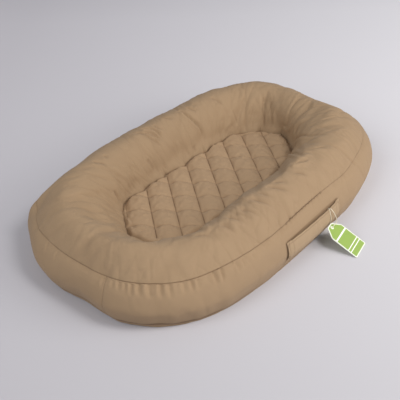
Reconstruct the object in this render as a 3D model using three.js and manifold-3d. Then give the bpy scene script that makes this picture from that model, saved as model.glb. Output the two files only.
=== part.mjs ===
// An infant lounger: a stuffed ring of canvas round a quilted well, with a carry strap and a hang tag.
// Millimetres. X runs along the lounger, the strap is on the -Y side, and the floor is at Z = 0.
import * as THREE from "three";
import { mergeVertices } from "three/addons/utils/BufferGeometryUtils.js";
import Module from "manifold-3d";

const wasm = await Module();
wasm.setup();

// Overall sizes
const LENGTH = 740; // over the fullest line of the side band, along X
const WIDTH = 478; // the same, along Y
const RING_DEPTH = 150; // from the fullest line in to the well seam
const CROWN_HEIGHT = 126;

// How square each outline is: 2 is an ellipse, and a larger power has fuller corners
const OUTLINE_POWER = 3.03;
const WAIST_POWER = 2.8;
const WELL_POWER = 3.16;

// Where the seams and the fullest and highest lines lie, as an inset from the fullest line and a height
const FLOOR_INSET = 24;
const FLOOR_MIDDLE_INSET = 84;
const BASE_SEAM_INSET = 9;
const BASE_SEAM_HEIGHT = 12;
const BULGE_HEIGHT = 36;
const TOP_SEAM_INSET = 20;
const TOP_SEAM_HEIGHT = 84;
const CROWN_INSET = 84;
const WAIST_INSET = 94; // where the outline is nearest to an ellipse
const WELL_SEAM_HEIGHT = 42;
const END_LIFT = 10; // how far the base curls up at the two ends
const END_LIFT_RUN = 120; // over this much of each end
const SLUMP = 26; // how far the inner side sinks round the well's corner on the strap's side and at -X
const SLUMP_INSET = 60; // from this inset to the well seam
const SLUMP_ANGLE = THREE.MathUtils.degToRad(225); // the corner's direction

// Cloth, thread and clearances
const CANVAS = 1.2;
const LINING = 0.8;
const SEAM_GAP = 0.3; // between two sewn edges, or two layers that lie on each other
const FILL_GAP = 0.5; // between filling and the cloth round it
const THREAD = 0.8;

// Diamond quilting: the two diagonals of a diamond, and where one crossing of the lines lies
const DIAMOND_LENGTH = 57.9;
const DIAMOND_WIDTH = 73.5;
const QUILT_SHIFT_X = 27.7;
const QUILT_SHIFT_Y = 25.3;
const PILLOW_HEIGHT = 6; // of a diamond's middle over its stitched lines
const STITCHED_WADDING = 1; // what is left of the wadding under a line of stitches
const PAD_ROUND = 7; // rounding of the centre pad's edge

// Carry strap
const STRAP_LENGTH = 164;
const STRAP_WIDTH = 36;
const STRAP_TOP_HEIGHT = 61;
const STRAP_THICKNESS = 1.6;
const STRAP_STANDOFF = 4.5; // of its middle from the band
const ANCHOR_LENGTH = 12;

// Filling opening, closed by hand on the top seam
const CLOSING_START = -65;
const CLOSING_END = 52;
const STITCH_WIDTH = 1.4;
const STITCH_COUNT = 12;

// Hang tag and its string
const STRING = 1.2;
const KNOT = 2.6;
const HITCH_SLACK = 0.4; // of the string's loop round the strap
const HITCH_X = 44; // the string is tied round the strap here
const TAG_LENGTH = 72;
const TAG_WIDTH = 46;
const TAG_NECK_WIDTH = 16;
const TAG_SHOULDER = 17;
const TAG_THICKNESS = 0.8;
const TAG_HOLE = 1.9; // the string passes through it with a gap all round
const TAG_HOLE_INSET = 6.5; // from the tag's upper edge to the middle of its hole
const TAG_HEADING = THREE.MathUtils.degToRad(10); // the way it leans, turned from -Y towards +X
const STRING_ROUTE = [
  [45.0, -241.0, 62.2],
  [46.2, -242.8, 60.0],
  [48.0, -244.6, 56.6],
  [50.0, -246.0, 52.4],
  [52.0, -247.2, 48.0],
  [53.8, -248.3, 43.6],
  [55.1, -249.4, 39.4],
  [55.5, -250.5, 35.8],
  [54.6, -251.5, 33.0],
  [52.4, -252.3, 31.5],
  [49.6, -252.9, 31.2],
  [46.6, -253.4, 31.8],
  [43.6, -254.1, 32.7],
  [40.6, -254.7, 33.4],
  [38.0, -255.0, 33.7],
  [36.1, -255.0, 33.2],
  [35.2, -254.6, 32.0],
  [35.05, -254.1, 31.0],
  [34.95, -253.6, 30.1],
];

// Counts
const COLUMNS = 56; // round every ring
const BAND_ROWS = 5;
const TOP_ROWS = 10;
const BASE_CURVE_ROWS = 2;
const CELL_STEPS = 3; // along each side of a diamond
const STRAP_COLUMNS = 8;
const CORD_SIDES = 8;
const STRING_STEPS = 34;
const HITCH_STEPS = 34;
const THREAD_SIDES = 5;
const HOLE_SEGMENTS = 16;
const THREAD_STEPS = 60;
const BAND_JOIN_COLUMN = 31; // the visible join of the two strips; the other is opposite

// Shares that shape the curves of the section
const bandShoulderShares = { inset: 0.34, height: 0.6 };
const topShoulderShares = { inset: 0.46, height: 0.7 };
const browShares = { inset: 0.39, height: 0.82 };
const wallShares = { inset: 0.73, height: 0.46 };
const floorCurveShares = { inset: 0.75, height: 0.12 };
const slumpEndShares = { from: 0.26, full: 0.65 }; // of the way towards an end, as a cosine
const slumpCornerShares = { from: -0.1, full: 0.6 }; // of the way towards the corner, as a cosine
const pillowShare = 0.6; // power that makes a diamond's top full

const canvasLook = { color: 0xa58a6b, roughness: 0.9, metalness: 0 };
const liningLook = { color: 0xcdbfa8, roughness: 0.92, metalness: 0 };
const fillLook = { color: 0xf0eee8, roughness: 0.97, metalness: 0 };
const threadLook = { color: 0xbca586, roughness: 0.8, metalness: 0 };
const stringLook = { color: 0xe6dac4, roughness: 0.85, metalness: 0 };
const tagLook = { color: 0x98b258, roughness: 0.7, metalness: 0 };

const mix = THREE.MathUtils.lerp;
const lounger = new THREE.Group();

// Solids

// A closed body from corner points and triangles, with its faces turned outwards.
function closedBody(points, triangles) {
  const loose = new THREE.BufferGeometry();
  const places = points.flatMap((point) => [point.x, point.y, point.z]);
  loose.setAttribute("position", new THREE.Float32BufferAttribute(places, 3));
  loose.setIndex(triangles.flat());
  const merged = mergeVertices(loose);
  const kept = [];
  const index = merged.index.array;
  for (let i = 0; i < index.length; i += 3) {
    const [a, b, c] = [index[i], index[i + 1], index[i + 2]];
    if (a !== b && b !== c && c !== a) kept.push([a, b, c]);
  }
  const corner = (i) => new THREE.Vector3().fromBufferAttribute(merged.attributes.position, i);
  const volume = kept.reduce(
    (sum, [a, b, c]) => sum + corner(a).dot(corner(b).cross(corner(c))),
    0,
  );
  if (volume < 0) kept.forEach((triangle) => triangle.reverse());
  merged.setIndex(kept.flat());
  merged.computeVertexNormals();
  return merged;
}

// A skin over sections that have the same number of points. "joined" runs the last section on into the
// first, and otherwise both ends are capped. "looped" closes each section, and otherwise its two ends lie
// on one point that all the sections share. Each four-sided face is split along its shorter diagonal, so
// that layers which lie on each other are split alike.
function loft(sections, { joined = false, looped = true } = {}) {
  const count = sections[0].length;
  const points = sections.flat();
  const id = (section, point) => (section % sections.length) * count + (point % count);
  const apart = (a, b) => points[a].distanceTo(points[b]);
  const triangles = [];
  const lastSection = joined ? sections.length : sections.length - 1;
  const lastPoint = looped ? count : count - 1;
  for (let s = 0; s < lastSection; s++) {
    for (let p = 0; p < lastPoint; p++) {
      const [a, b, c, d] = [id(s, p), id(s + 1, p), id(s + 1, p + 1), id(s, p + 1)];
      if (apart(a, c) < apart(b, d)) triangles.push([a, b, c], [a, c, d]);
      else triangles.push([a, b, d], [b, c, d]);
    }
  }
  if (!joined) {
    for (let p = 0; p < count / 2 - 1; p++) {
      const [a, b, c, d] = [p, p + 1, count - 2 - p, count - 1 - p];
      for (const [end, turned] of [[0, false], [sections.length - 1, true]]) {
        for (const three of [[a, b, c], [a, c, d]]) {
          const facing = turned ? [...three].reverse() : three;
          triangles.push(facing.map((point) => id(end, point)));
        }
      }
    }
  }
  return closedBody(points, triangles);
}

// A cord of round section along a smooth curve.
function cord(curve, diameter, sides, steps) {
  const section = new THREE.Shape();
  for (let i = 0; i < sides; i++) {
    const angle = (i * 2 * Math.PI) / sides;
    const [x, y] = [(diameter / 2) * Math.cos(angle), (diameter / 2) * Math.sin(angle)];
    if (i === 0) section.moveTo(x, y);
    else section.lineTo(x, y);
  }
  section.closePath();
  return new THREE.ExtrudeGeometry(section, { extrudePath: curve, steps });
}

// The same geometry as a solid that can be joined and cut.
function asSolid(geometry) {
  const bare = geometry.index ? geometry.toNonIndexed() : geometry.clone();
  bare.deleteAttribute("normal");
  bare.deleteAttribute("uv");
  const merged = mergeVertices(bare);
  return new wasm.Manifold(
    new wasm.Mesh({
      numProp: 3,
      vertProperties: merged.attributes.position.array,
      triVerts: new Uint32Array(merged.index.array),
    }),
  );
}

function asGeometry(solid) {
  const mesh = solid.getMesh();
  const geometry = new THREE.BufferGeometry();
  geometry.setAttribute("position", new THREE.Float32BufferAttribute(mesh.vertProperties, 3));
  geometry.setIndex([...mesh.triVerts]);
  geometry.computeVertexNormals();
  return geometry;
}

function add(name, geometry, look) {
  const mesh = new THREE.Mesh(geometry, new THREE.MeshStandardMaterial(look));
  mesh.name = name;
  lounger.add(mesh);
  return mesh;
}

// The lounger's skin

// The outline's power at an inset: it changes evenly from the fullest line to the waist and to the well.
function powerAt(inset) {
  if (inset < WAIST_INSET) return mix(OUTLINE_POWER, WAIST_POWER, Math.max(inset, 0) / WAIST_INSET);
  const share = (inset - WAIST_INSET) / (RING_DEPTH - WAIST_INSET);
  return mix(WAIST_POWER, WELL_POWER, Math.min(share, 1));
}

// How far the base curls up at a place, fading out towards the top seam.
function liftAt(x, height) {
  const along = Math.max(0, Math.abs(x) - (LENGTH / 2 - END_LIFT_RUN)) / END_LIFT_RUN;
  return END_LIFT * along ** 2 * Math.max(0, 1 - height / TOP_SEAM_HEIGHT);
}

// How far the inner side sinks at a place: round one corner, but not in the middle of a long side or below
// the well seam.
function slumpAt(angle, inset, height) {
  const share = (inset - SLUMP_INSET) / (RING_DEPTH - SLUMP_INSET);
  if (share < 0 || share > 1 || height < WELL_SEAM_HEIGHT) return 0;
  const { smoothstep } = THREE.MathUtils;
  const toEnd = smoothstep(Math.abs(Math.cos(angle)), slumpEndShares.from, slumpEndShares.full);
  const toCorner = Math.cos(angle - SLUMP_ANGLE);
  const round = smoothstep(toCorner, slumpCornerShares.from, slumpCornerShares.full);
  return SLUMP * toEnd * round * Math.sin(Math.PI * share) ** 2;
}

// One point of the skin: at an angle round the lounger, an inset from the fullest line and a height.
function skinPoint(angle, inset, height) {
  const power = powerAt(inset);
  const [across, along] = [Math.abs(Math.sin(angle)), Math.abs(Math.cos(angle))];
  const reach = (along ** power + across ** power) ** (-1 / power);
  const x = (LENGTH / 2 - inset) * reach * Math.cos(angle);
  const y = (WIDTH / 2 - inset) * reach * Math.sin(angle);
  return new THREE.Vector3(x, y, height + liftAt(x, height) - slumpAt(angle, inset, height));
}

function ring(inset, height) {
  return Array.from({ length: COLUMNS }, (_, column) =>
    skinPoint((column * 2 * Math.PI) / COLUMNS, inset, height),
  );
}

const at = (inset, height) => new THREE.Vector2(inset, height);
const between = (from, to, shares) =>
  at(mix(from.x, to.x, shares.inset), mix(from.y, to.y, shares.height));

const floorEdge = at(FLOOR_INSET, 0);
const baseSeam = at(BASE_SEAM_INSET, BASE_SEAM_HEIGHT);
const bulge = at(0, BULGE_HEIGHT);
const topSeam = at(TOP_SEAM_INSET, TOP_SEAM_HEIGHT);
const crown = at(CROWN_INSET, CROWN_HEIGHT);
const wellSeam = at(RING_DEPTH, WELL_SEAM_HEIGHT);

// Down the inner side the shares run the other way: first far along, then far down.
const inner = (shares) => between(crown, wellSeam, { inset: shares.inset, height: 1 - shares.height });

const bandSection = new THREE.SplineCurve([
  baseSeam,
  bulge,
  between(bulge, topSeam, bandShoulderShares),
  topSeam,
]).getPoints(BAND_ROWS);
const topSection = new THREE.SplineCurve([
  topSeam,
  between(topSeam, crown, topShoulderShares),
  crown,
  inner(browShares),
  inner(wallShares),
  wellSeam,
]).getPoints(TOP_ROWS);
const baseSection = [
  wellSeam.clone().setY(0),
  at(FLOOR_MIDDLE_INSET, 0),
  ...new THREE.QuadraticBezierCurve(
    floorEdge,
    between(floorEdge, baseSeam, floorCurveShares),
    baseSeam,
  ).getPoints(BASE_CURVE_ROWS),
];

const rings = (section) => section.map((place) => ring(place.x, place.y));

// The rows moved inwards, square to the skin. Rows run round the lounger and follow each other up the
// outside, over the crown and down into the well.
function inwards(rows, distance) {
  return rows.map((row, r) =>
    row.map((point, column) => {
      const before = rows[Math.max(r - 1, 0)][column];
      const after = rows[Math.min(r + 1, rows.length - 1)][column];
      const left = row[(column + COLUMNS - 1) % COLUMNS];
      const right = row[(column + 1) % COLUMNS];
      const normal = right.clone().sub(left).cross(after.clone().sub(before)).normalize();
      return point.clone().addScaledVector(normal, -distance);
    }),
  );
}

// A sewn edge is cut back from its seam, so that two panels meet with the seam gap between them.
function cutBack(points, distance) {
  const trimmed = points.map((point) => point.clone());
  const ends = [[0, 1], [points.length - 1, points.length - 2]];
  for (const [end, next] of ends) {
    const way = points[next].clone().sub(points[end]).normalize();
    trimmed[end].addScaledVector(way, distance);
  }
  return trimmed;
}

const column = (rows, c) => rows.map((row) => row[c % COLUMNS]);

// The section loops of a cloth panel, one for each column: up its outer face and back down its inner one.
function panelLoops(rows, columns) {
  const back = inwards(rows, CANVAS);
  return columns.map((c) => [
    ...cutBack(column(rows, c), SEAM_GAP / 2),
    ...cutBack(column(back, c), SEAM_GAP / 2).reverse(),
  ]);
}

const tieOuter = RING_DEPTH - LINING;
const tieTop = WELL_SEAM_HEIGHT - SEAM_GAP;
const tieUnder = CANVAS + SEAM_GAP;
const allColumns = Array.from({ length: COLUMNS }, (_, c) => c);
const bandRings = rings(bandSection);
const topRings = rings(topSection);
const baseRings = rings(baseSection);

function topPanel() {
  return loft(panelLoops(topRings, allColumns), { joined: true });
}

// A strip of the side band, from one join to the next. Its two ends are cut back as its edges are.
function bandStrip(start, end) {
  const columns = Array.from({ length: end - start + 1 }, (_, c) => start + c);
  const loops = panelLoops(bandRings, columns);
  const across = loops[0].map((_, point) => cutBack(loops.map((loop) => loop[point]), SEAM_GAP / 2));
  return loft(loops.map((_, c) => across.map((points) => points[c])));
}

function basePanel() {
  const back = inwards(baseRings, CANVAS);
  const sections = allColumns.map((c) => {
    const [under, over] = [column(baseRings, c), column(back, c)];
    const rim = under.length - 1;
    const underCut = cutBack(under, SEAM_GAP / 2)[rim];
    const overCut = cutBack(over, SEAM_GAP / 2)[rim];
    return [
      new THREE.Vector3(),
      ...under.slice(0, rim),
      underCut,
      overCut,
      ...over.slice(0, rim).reverse(),
      new THREE.Vector3(0, 0, CANVAS),
    ];
  });
  return loft(sections, { joined: true, looped: false });
}

// A flat-sided piece inside the well's outline, from rings of inset and height, capped in the middle.
function wellDisc(section) {
  const rows = rings(section);
  const [lowest, highest] = [section[0].y, section.at(-1).y];
  const sections = allColumns.map((c) => [
    new THREE.Vector3(0, 0, lowest),
    ...column(rows, c),
    new THREE.Vector3(0, 0, highest),
  ]);
  return loft(sections, { joined: true, looped: false });
}

function bolsterFill() {
  const skin = [...baseRings, ...bandRings.slice(1), ...topRings.slice(1)];
  const filled = inwards(skin, CANVAS + FILL_GAP);
  filled[0] = ring(tieOuter - FILL_GAP, CANVAS + FILL_GAP);
  return loft(allColumns.map((c) => column(filled, c)), { joined: true });
}

// The quilted well

const wellInset = RING_DEPTH + SEAM_GAP;
const faceUnder = WELL_SEAM_HEIGHT - CANVAS;
const waddingTop = faceUnder - SEAM_GAP;
const waddingUnder = waddingTop - STITCHED_WADDING;
const backingTop = waddingUnder - SEAM_GAP;
const backingUnder = backingTop - LINING;
const padTop = backingUnder - SEAM_GAP;
const padUnder = CANVAS + FILL_GAP;

// How far a diamond stands up at a place that is given by how many lines of each way lie before it.
function pillow(first, second) {
  const bump = (line) => Math.abs(Math.sin(Math.PI * line)) ** pillowShare;
  return PILLOW_HEIGHT * bump(first) * bump(second);
}

// How many lines of quilting, to each side of the crossing that the shift places, reach past the well.
const quiltReach = Math.ceil(
  (LENGTH / 2 - RING_DEPTH + Math.abs(QUILT_SHIFT_X)) / DIAMOND_LENGTH +
    (WIDTH / 2 - RING_DEPTH + Math.abs(QUILT_SHIFT_Y)) / DIAMOND_WIDTH,
);

// A layer with the diamonds in its upper face, cut to the well's outline.
function quiltedLayer(topHeight, underHeight, pillowedUnder) {
  const side = 2 * quiltReach * CELL_STEPS + 1;
  const points = [];
  for (const [height, pillowed] of [[topHeight, true], [underHeight, pillowedUnder]]) {
    for (let i = 0; i < side; i++) {
      for (let j = 0; j < side; j++) {
        const [first, second] = [i / CELL_STEPS - quiltReach, j / CELL_STEPS - quiltReach];
        points.push(
          new THREE.Vector3(
            QUILT_SHIFT_X + ((first + second) * DIAMOND_LENGTH) / 2,
            QUILT_SHIFT_Y - ((first - second) * DIAMOND_WIDTH) / 2,
            height + (pillowed ? pillow(first, second) : 0),
          ),
        );
      }
    }
  }
  const upper = (i, j) => i * side + j;
  const lower = (i, j) => side * side + i * side + j;
  const triangles = [];
  const quad = (a, b, c, d) => triangles.push([a, b, c], [a, c, d]);
  for (let i = 0; i < side - 1; i++) {
    for (let j = 0; j < side - 1; j++) {
      quad(upper(i, j), upper(i + 1, j), upper(i + 1, j + 1), upper(i, j + 1));
      quad(lower(i, j), lower(i, j + 1), lower(i + 1, j + 1), lower(i + 1, j));
    }
  }
  for (let k = 0; k < side - 1; k++) {
    const last = side - 1;
    quad(upper(k, 0), lower(k, 0), lower(k + 1, 0), upper(k + 1, 0));
    quad(upper(k + 1, last), lower(k + 1, last), lower(k, last), upper(k, last));
    quad(upper(0, k + 1), lower(0, k + 1), lower(0, k), upper(0, k));
    quad(upper(last, k), lower(last, k), lower(last, k + 1), upper(last, k + 1));
  }
  const outline = new THREE.Shape(ring(wellInset, 0).map((point) => at(point.x, point.y)));
  const prism = new THREE.ExtrudeGeometry(outline, { depth: CROWN_HEIGHT, bevelEnabled: false });
  return asGeometry(asSolid(closedBody(points, triangles)).intersect(asSolid(prism)));
}

// The carry strap

const strapBottomHeight = STRAP_TOP_HEIGHT - STRAP_WIDTH;

// At its ends the strap stands off by its own folded end and a gap to each side of that.
const endStandoff = CANVAS + 2 * SEAM_GAP;

// The band's face on the strap's side, at a place along the lounger and a height below the top seam.
function bandFace(x, height) {
  const upper = bandSection.findIndex((place) => place.y >= height);
  const [below, above] = [bandSection[upper - 1], bandSection[upper]];
  const inset = mix(below.x, above.x, (height - below.y) / (above.y - below.y));
  const power = powerAt(inset);
  const along = Math.abs(x) / (LENGTH / 2 - inset);
  return -(WIDTH / 2 - inset) * (1 - along ** power) ** (1 / power);
}

// How far the strap's inner face stands off the band.
function standoff(x) {
  const share = x / STRAP_LENGTH + 1 / 2;
  return mix(endStandoff, STRAP_STANDOFF, Math.sin(Math.PI * THREE.MathUtils.clamp(share, 0, 1)));
}

const strapHeights = [
  strapBottomHeight,
  ...bandSection
    .map((place) => place.y)
    .filter((height) => height > strapBottomHeight && height < STRAP_TOP_HEIGHT),
  STRAP_TOP_HEIGHT,
];

// A plate that follows the band from one place along it to another, between two distances off its face.
function bandPlate(start, end, columns, innerGap, thickness) {
  const sections = Array.from({ length: columns + 1 }, (_, c) => {
    const x = mix(start, end, c / columns);
    const face = (off) =>
      strapHeights.map((height) => new THREE.Vector3(x, bandFace(x, height) - off, height));
    return [...face(innerGap(x) + thickness), ...face(innerGap(x)).reverse()];
  });
  return loft(sections);
}

const strapHalf = (side) =>
  bandPlate((side * STRAP_LENGTH) / 2, (side * SEAM_GAP) / 2, STRAP_COLUMNS, standoff, STRAP_THICKNESS);

const strapAnchor = (side) => {
  const outerEnd = (side * STRAP_LENGTH) / 2;
  return bandPlate(outerEnd, outerEnd - side * ANCHOR_LENGTH, 1, () => SEAM_GAP, CANVAS);
};

// Thread, string and tag

// Small slanting stitches back and forth over the closed filling opening.
function closingThread() {
  const outside = THREAD / 2 + SEAM_GAP;
  const points = Array.from({ length: 2 * STITCH_COUNT + 1 }, (_, i) => {
    const x = mix(CLOSING_START, CLOSING_END, i / (2 * STITCH_COUNT));
    const sway = (i % 2 ? 1 : -1) * (STITCH_WIDTH / 2);
    const y = bandFace(x, TOP_SEAM_HEIGHT);
    return new THREE.Vector3(x, y - outside + sway, TOP_SEAM_HEIGHT + outside + sway);
  });
  return cord(new THREE.CatmullRomCurve3(points), THREAD, THREAD_SIDES, THREAD_STEPS);
}

const hitchOff = STRING / 2 + SEAM_GAP + HITCH_SLACK;
const strapInner = (height) => bandFace(HITCH_X, height) - standoff(HITCH_X);
const strapOuter = (height) => strapInner(height) - STRAP_THICKNESS;
const knotPlace = new THREE.Vector3(
  HITCH_X,
  strapOuter(STRAP_TOP_HEIGHT) - SEAM_GAP - KNOT / 2,
  STRAP_TOP_HEIGHT,
);

// The string's loop round the strap: down its outer face, up behind it and over its top, into the knot.
function stringHitch() {
  const front = (height) => new THREE.Vector3(HITCH_X, strapOuter(height) - hitchOff, height);
  const behind = (height) => new THREE.Vector3(HITCH_X, strapInner(height) + hitchOff, height);
  const turn = (height) =>
    new THREE.Vector3(HITCH_X, (strapOuter(height) + strapInner(height)) / 2, height);
  const heights = [...strapHeights].reverse();
  const below = turn(strapBottomHeight).setZ(strapBottomHeight - hitchOff);
  const above = turn(STRAP_TOP_HEIGHT).setZ(STRAP_TOP_HEIGHT + hitchOff);
  const route = new THREE.CatmullRomCurve3([
    ...heights.map(front),
    below,
    ...strapHeights.map(behind),
    above,
    knotPlace,
  ]);
  const loop = asSolid(cord(route, STRING, CORD_SIDES, HITCH_STEPS));
  const knot = new THREE.SphereGeometry(KNOT / 2, CORD_SIDES, CORD_SIDES);
  return asGeometry(loop.add(asSolid(knot.translate(...knotPlace.toArray()))));
}

const stringPoints = STRING_ROUTE.map((point) => new THREE.Vector3(...point));
const tagString = () =>
  cord(new THREE.CatmullRomCurve3(stringPoints), STRING, CORD_SIDES, STRING_STEPS);

// The tag lies below its upper edge in its own XY plane, with its hole at the middle.
function tagCard() {
  const [half, neck] = [TAG_WIDTH / 2, TAG_NECK_WIDTH / 2];
  const top = TAG_HOLE_INSET;
  const bottom = TAG_HOLE_INSET - TAG_LENGTH;
  const card = new THREE.Shape([
    at(-half, bottom),
    at(half, bottom),
    at(half, top - TAG_SHOULDER),
    at(neck, top),
    at(-neck, top),
    at(-half, top - TAG_SHOULDER),
  ]);
  card.holes.push(new THREE.Path().absarc(0, 0, TAG_HOLE / 2, 0, 2 * Math.PI, true));
  const depth = TAG_THICKNESS;
  return new THREE.ExtrudeGeometry(card, { depth, bevelEnabled: false, curveSegments: HOLE_SEGMENTS });
}

// The string's end is in its hole, and its lower edge rests on the floor.
function placeTag(mesh) {
  const end = stringPoints.at(-1);
  const lean = Math.asin((end.z - SEAM_GAP) / (TAG_LENGTH - TAG_HOLE_INSET));
  const down = new THREE.Vector3(
    Math.sin(TAG_HEADING) * Math.cos(lean),
    -Math.cos(TAG_HEADING) * Math.cos(lean),
    -Math.sin(lean),
  );
  const across = new THREE.Vector3(Math.cos(TAG_HEADING), Math.sin(TAG_HEADING), 0);
  const up = down.clone().negate();
  const face = across.clone().cross(up);
  mesh.quaternion.setFromRotationMatrix(new THREE.Matrix4().makeBasis(across, up, face));
  mesh.position.copy(end);
}

// The pieces, from the inside out

add("centre_pad", wellDisc([
  at(wellInset + PAD_ROUND, padUnder),
  at(wellInset, padUnder + PAD_ROUND),
  at(wellInset, padTop - PAD_ROUND),
  at(wellInset + PAD_ROUND, padTop),
]), fillLook);
add("bolster_fill", bolsterFill(), fillLook);

const tieRings = rings([
  at(tieOuter, tieUnder),
  at(RING_DEPTH, tieUnder),
  at(RING_DEPTH, tieTop),
  at(tieOuter, tieTop),
]);
add("well_tie_wall", loft(allColumns.map((c) => column(tieRings, c)), { joined: true }), liningLook);

add("quilt_backing", wellDisc([at(wellInset, backingUnder), at(wellInset, backingTop)]), liningLook);
add("quilt_wadding", quiltedLayer(waddingTop, waddingUnder, false), fillLook);
add("quilt_face", quiltedLayer(WELL_SEAM_HEIGHT, faceUnder, true), canvasLook);

add("base_panel", basePanel(), canvasLook);
const oppositeJoin = BAND_JOIN_COLUMN - COLUMNS / 2;
add("side_band_far_side", bandStrip(oppositeJoin, BAND_JOIN_COLUMN), canvasLook);
add("side_band_handle_side", bandStrip(BAND_JOIN_COLUMN, oppositeJoin + COLUMNS), canvasLook);
add("top_panel", topPanel(), canvasLook);
add("closing_thread", closingThread(), threadLook);

add("handle_left_anchor", strapAnchor(-1), canvasLook);
add("handle_right_anchor", strapAnchor(1), canvasLook);
add("handle_strap_left", strapHalf(-1), canvasLook);
add("handle_strap_right", strapHalf(1), canvasLook);

add("string_hitch", stringHitch(), stringLook);
add("tag_string", tagString(), stringLook);
placeTag(add("hang_tag", tagCard(), tagLook));

export default lounger;
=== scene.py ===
"""Infant lounger: an oval stuffed ring with a sunken quilted well, a canvas carry strap and a hang tag.

Metres, +Z up, +X along the lounger, the strap on the -Y side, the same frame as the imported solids.
"""

import math

import bpy
import numpy as np
from mathutils import Matrix, Vector
from mathutils.bvhtree import BVHTree
from mathutils.geometry import tessellate_polygon


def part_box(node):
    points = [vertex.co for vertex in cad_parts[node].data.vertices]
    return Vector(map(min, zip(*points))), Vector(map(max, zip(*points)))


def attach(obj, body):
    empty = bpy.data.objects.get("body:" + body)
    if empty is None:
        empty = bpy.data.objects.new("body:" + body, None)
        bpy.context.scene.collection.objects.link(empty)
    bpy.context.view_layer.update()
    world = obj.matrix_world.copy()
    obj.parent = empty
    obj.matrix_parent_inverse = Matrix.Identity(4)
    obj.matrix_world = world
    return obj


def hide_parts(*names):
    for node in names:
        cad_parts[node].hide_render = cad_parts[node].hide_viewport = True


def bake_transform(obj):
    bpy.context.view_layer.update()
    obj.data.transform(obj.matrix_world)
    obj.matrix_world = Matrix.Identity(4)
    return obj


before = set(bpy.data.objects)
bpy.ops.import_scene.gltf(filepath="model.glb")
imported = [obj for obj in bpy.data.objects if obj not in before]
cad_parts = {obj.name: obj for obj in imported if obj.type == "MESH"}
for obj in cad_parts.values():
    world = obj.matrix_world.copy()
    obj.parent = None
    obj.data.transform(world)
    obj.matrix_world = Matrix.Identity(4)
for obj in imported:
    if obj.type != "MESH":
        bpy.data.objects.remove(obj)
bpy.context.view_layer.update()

SCENE = bpy.context.scene
MM = 0.001
TURN = 2 * math.pi
UP = np.array([0, 0, 1])
LEVEL = np.array([1, 1, 0])


def lerp(a, b, share):
    return a + (b - a) * share


def smooth(x, low, high):
    """0 below low, 1 above high and eased between them."""
    t = np.clip((x - low) / (high - low), 0, 1)
    return t * t * (3 - 2 * t)


def bell(x, width):
    return np.exp(-((x / width) ** 2))


def cusp(x, width):
    """A sharp peak of 1 at 0 that dies away on both sides."""
    return np.exp(-np.abs(x) / width)


def swell(x, height, width):
    """A round swelling along x = 0, its height and width in mm."""
    return height * MM * bell(x, width * MM)


def ridge(x, height, width):
    """A sharp ridge along x = 0, its height and width in mm."""
    return height * MM * cusp(x, width * MM)


def unit(vectors):
    return vectors / np.maximum(np.linalg.norm(vectors, axis=-1, keepdims=True), 1e-12)


# Camera, as fitted to the photograph

IMAGE_SIDE = 400
IMAGE_MIDDLE = IMAGE_SIDE / 2
FOCAL_PIXELS = 639.1
SENSOR = 36.0
CAMERA_PLACE = Vector((-0.78066, -0.68204, 0.76753))
CAMERA_FORWARD = Vector((0.59134, 0.54285, -0.59635)).normalized()
CAMERA_RIGHT = Vector((0.65633, -0.75365, -0.03521)).normalized()
CAMERA_UP = CAMERA_RIGHT.cross(CAMERA_FORWARD)


def make_camera():
    data = bpy.data.cameras.new("camera")
    data.sensor_width = SENSOR
    data.lens = SENSOR * FOCAL_PIXELS / IMAGE_SIDE
    camera = bpy.data.objects.new("camera", data)
    SCENE.collection.objects.link(camera)
    turn = Matrix((CAMERA_RIGHT, CAMERA_UP, -CAMERA_FORWARD)).transposed()
    camera.matrix_world = Matrix.Translation(CAMERA_PLACE) @ turn.to_4x4()
    SCENE.camera = camera


def project(points):
    """Pixels of the photograph at which points are seen, and their depth."""
    offset = np.asarray(points) - np.array(CAMERA_PLACE)
    depth = offset @ np.array(CAMERA_FORWARD)
    across = offset @ np.array(CAMERA_RIGHT) / depth
    above = offset @ np.array(CAMERA_UP) / depth
    return IMAGE_MIDDLE + FOCAL_PIXELS * across, IMAGE_MIDDLE - FOCAL_PIXELS * above, depth


def pixel_ray(x, y):
    """Direction from the camera through a pixel of the photograph."""
    across = (x - IMAGE_MIDDLE) / FOCAL_PIXELS
    above = (IMAGE_MIDDLE - y) / FOCAL_PIXELS
    return (CAMERA_FORWARD + CAMERA_RIGHT * across + CAMERA_UP * above).normalized()


def on_plane(pixels, height):
    """Points of a level plane seen at pixels of the photograph."""
    rays = [pixel_ray(x, y) for x, y in pixels]
    return np.array([CAMERA_PLACE + ray * ((height - CAMERA_PLACE.z) / ray.z) for ray in rays])


make_camera()

# Curves and grids


def spline(points, count):
    """A uniform Catmull-Rom curve through points, at count places a span."""
    p = np.array([points[0], *points, points[-1]], float)
    t = np.linspace(0, 1, count, endpoint=False)[:, None]
    out = []
    for i in range(len(points) - 1):
        a, b, c, d = p[i : i + 4]
        bend = (2 * a - 5 * b + 4 * c - d) * t**2 + (3 * b - a - 3 * c + d) * t**3
        out.append(0.5 * (2 * b + (c - a) * t + bend))
    return np.vstack([*out, p[-2:-1]])


def lengths_along(points):
    steps = np.linalg.norm(np.diff(points, axis=0), axis=1)
    return np.concatenate([[0], np.cumsum(steps)])


def evenly(points, count):
    """count points at equal steps along a polyline."""
    at = lengths_along(points)
    want = np.linspace(0, at[-1], count)
    return np.stack([np.interp(want, at, points[:, k]) for k in range(points.shape[1])], -1)


def eased(count, start, end, draw):
    """count + 1 places from start to end, closer together near both by the share draw."""
    t = np.linspace(0, 1, count + 1)
    return lerp(start, end, t - draw * np.sin(TURN * t) / TURN)


def surface_normals(grid, cyclic):
    """Unit normals of a grid whose rows climb outside and whose columns turn with the angle."""
    along = np.roll(grid, -1, 1) - np.roll(grid, 1, 1) if cyclic else np.gradient(grid, axis=1)
    return unit(np.cross(along, np.gradient(grid, axis=0)))


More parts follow.
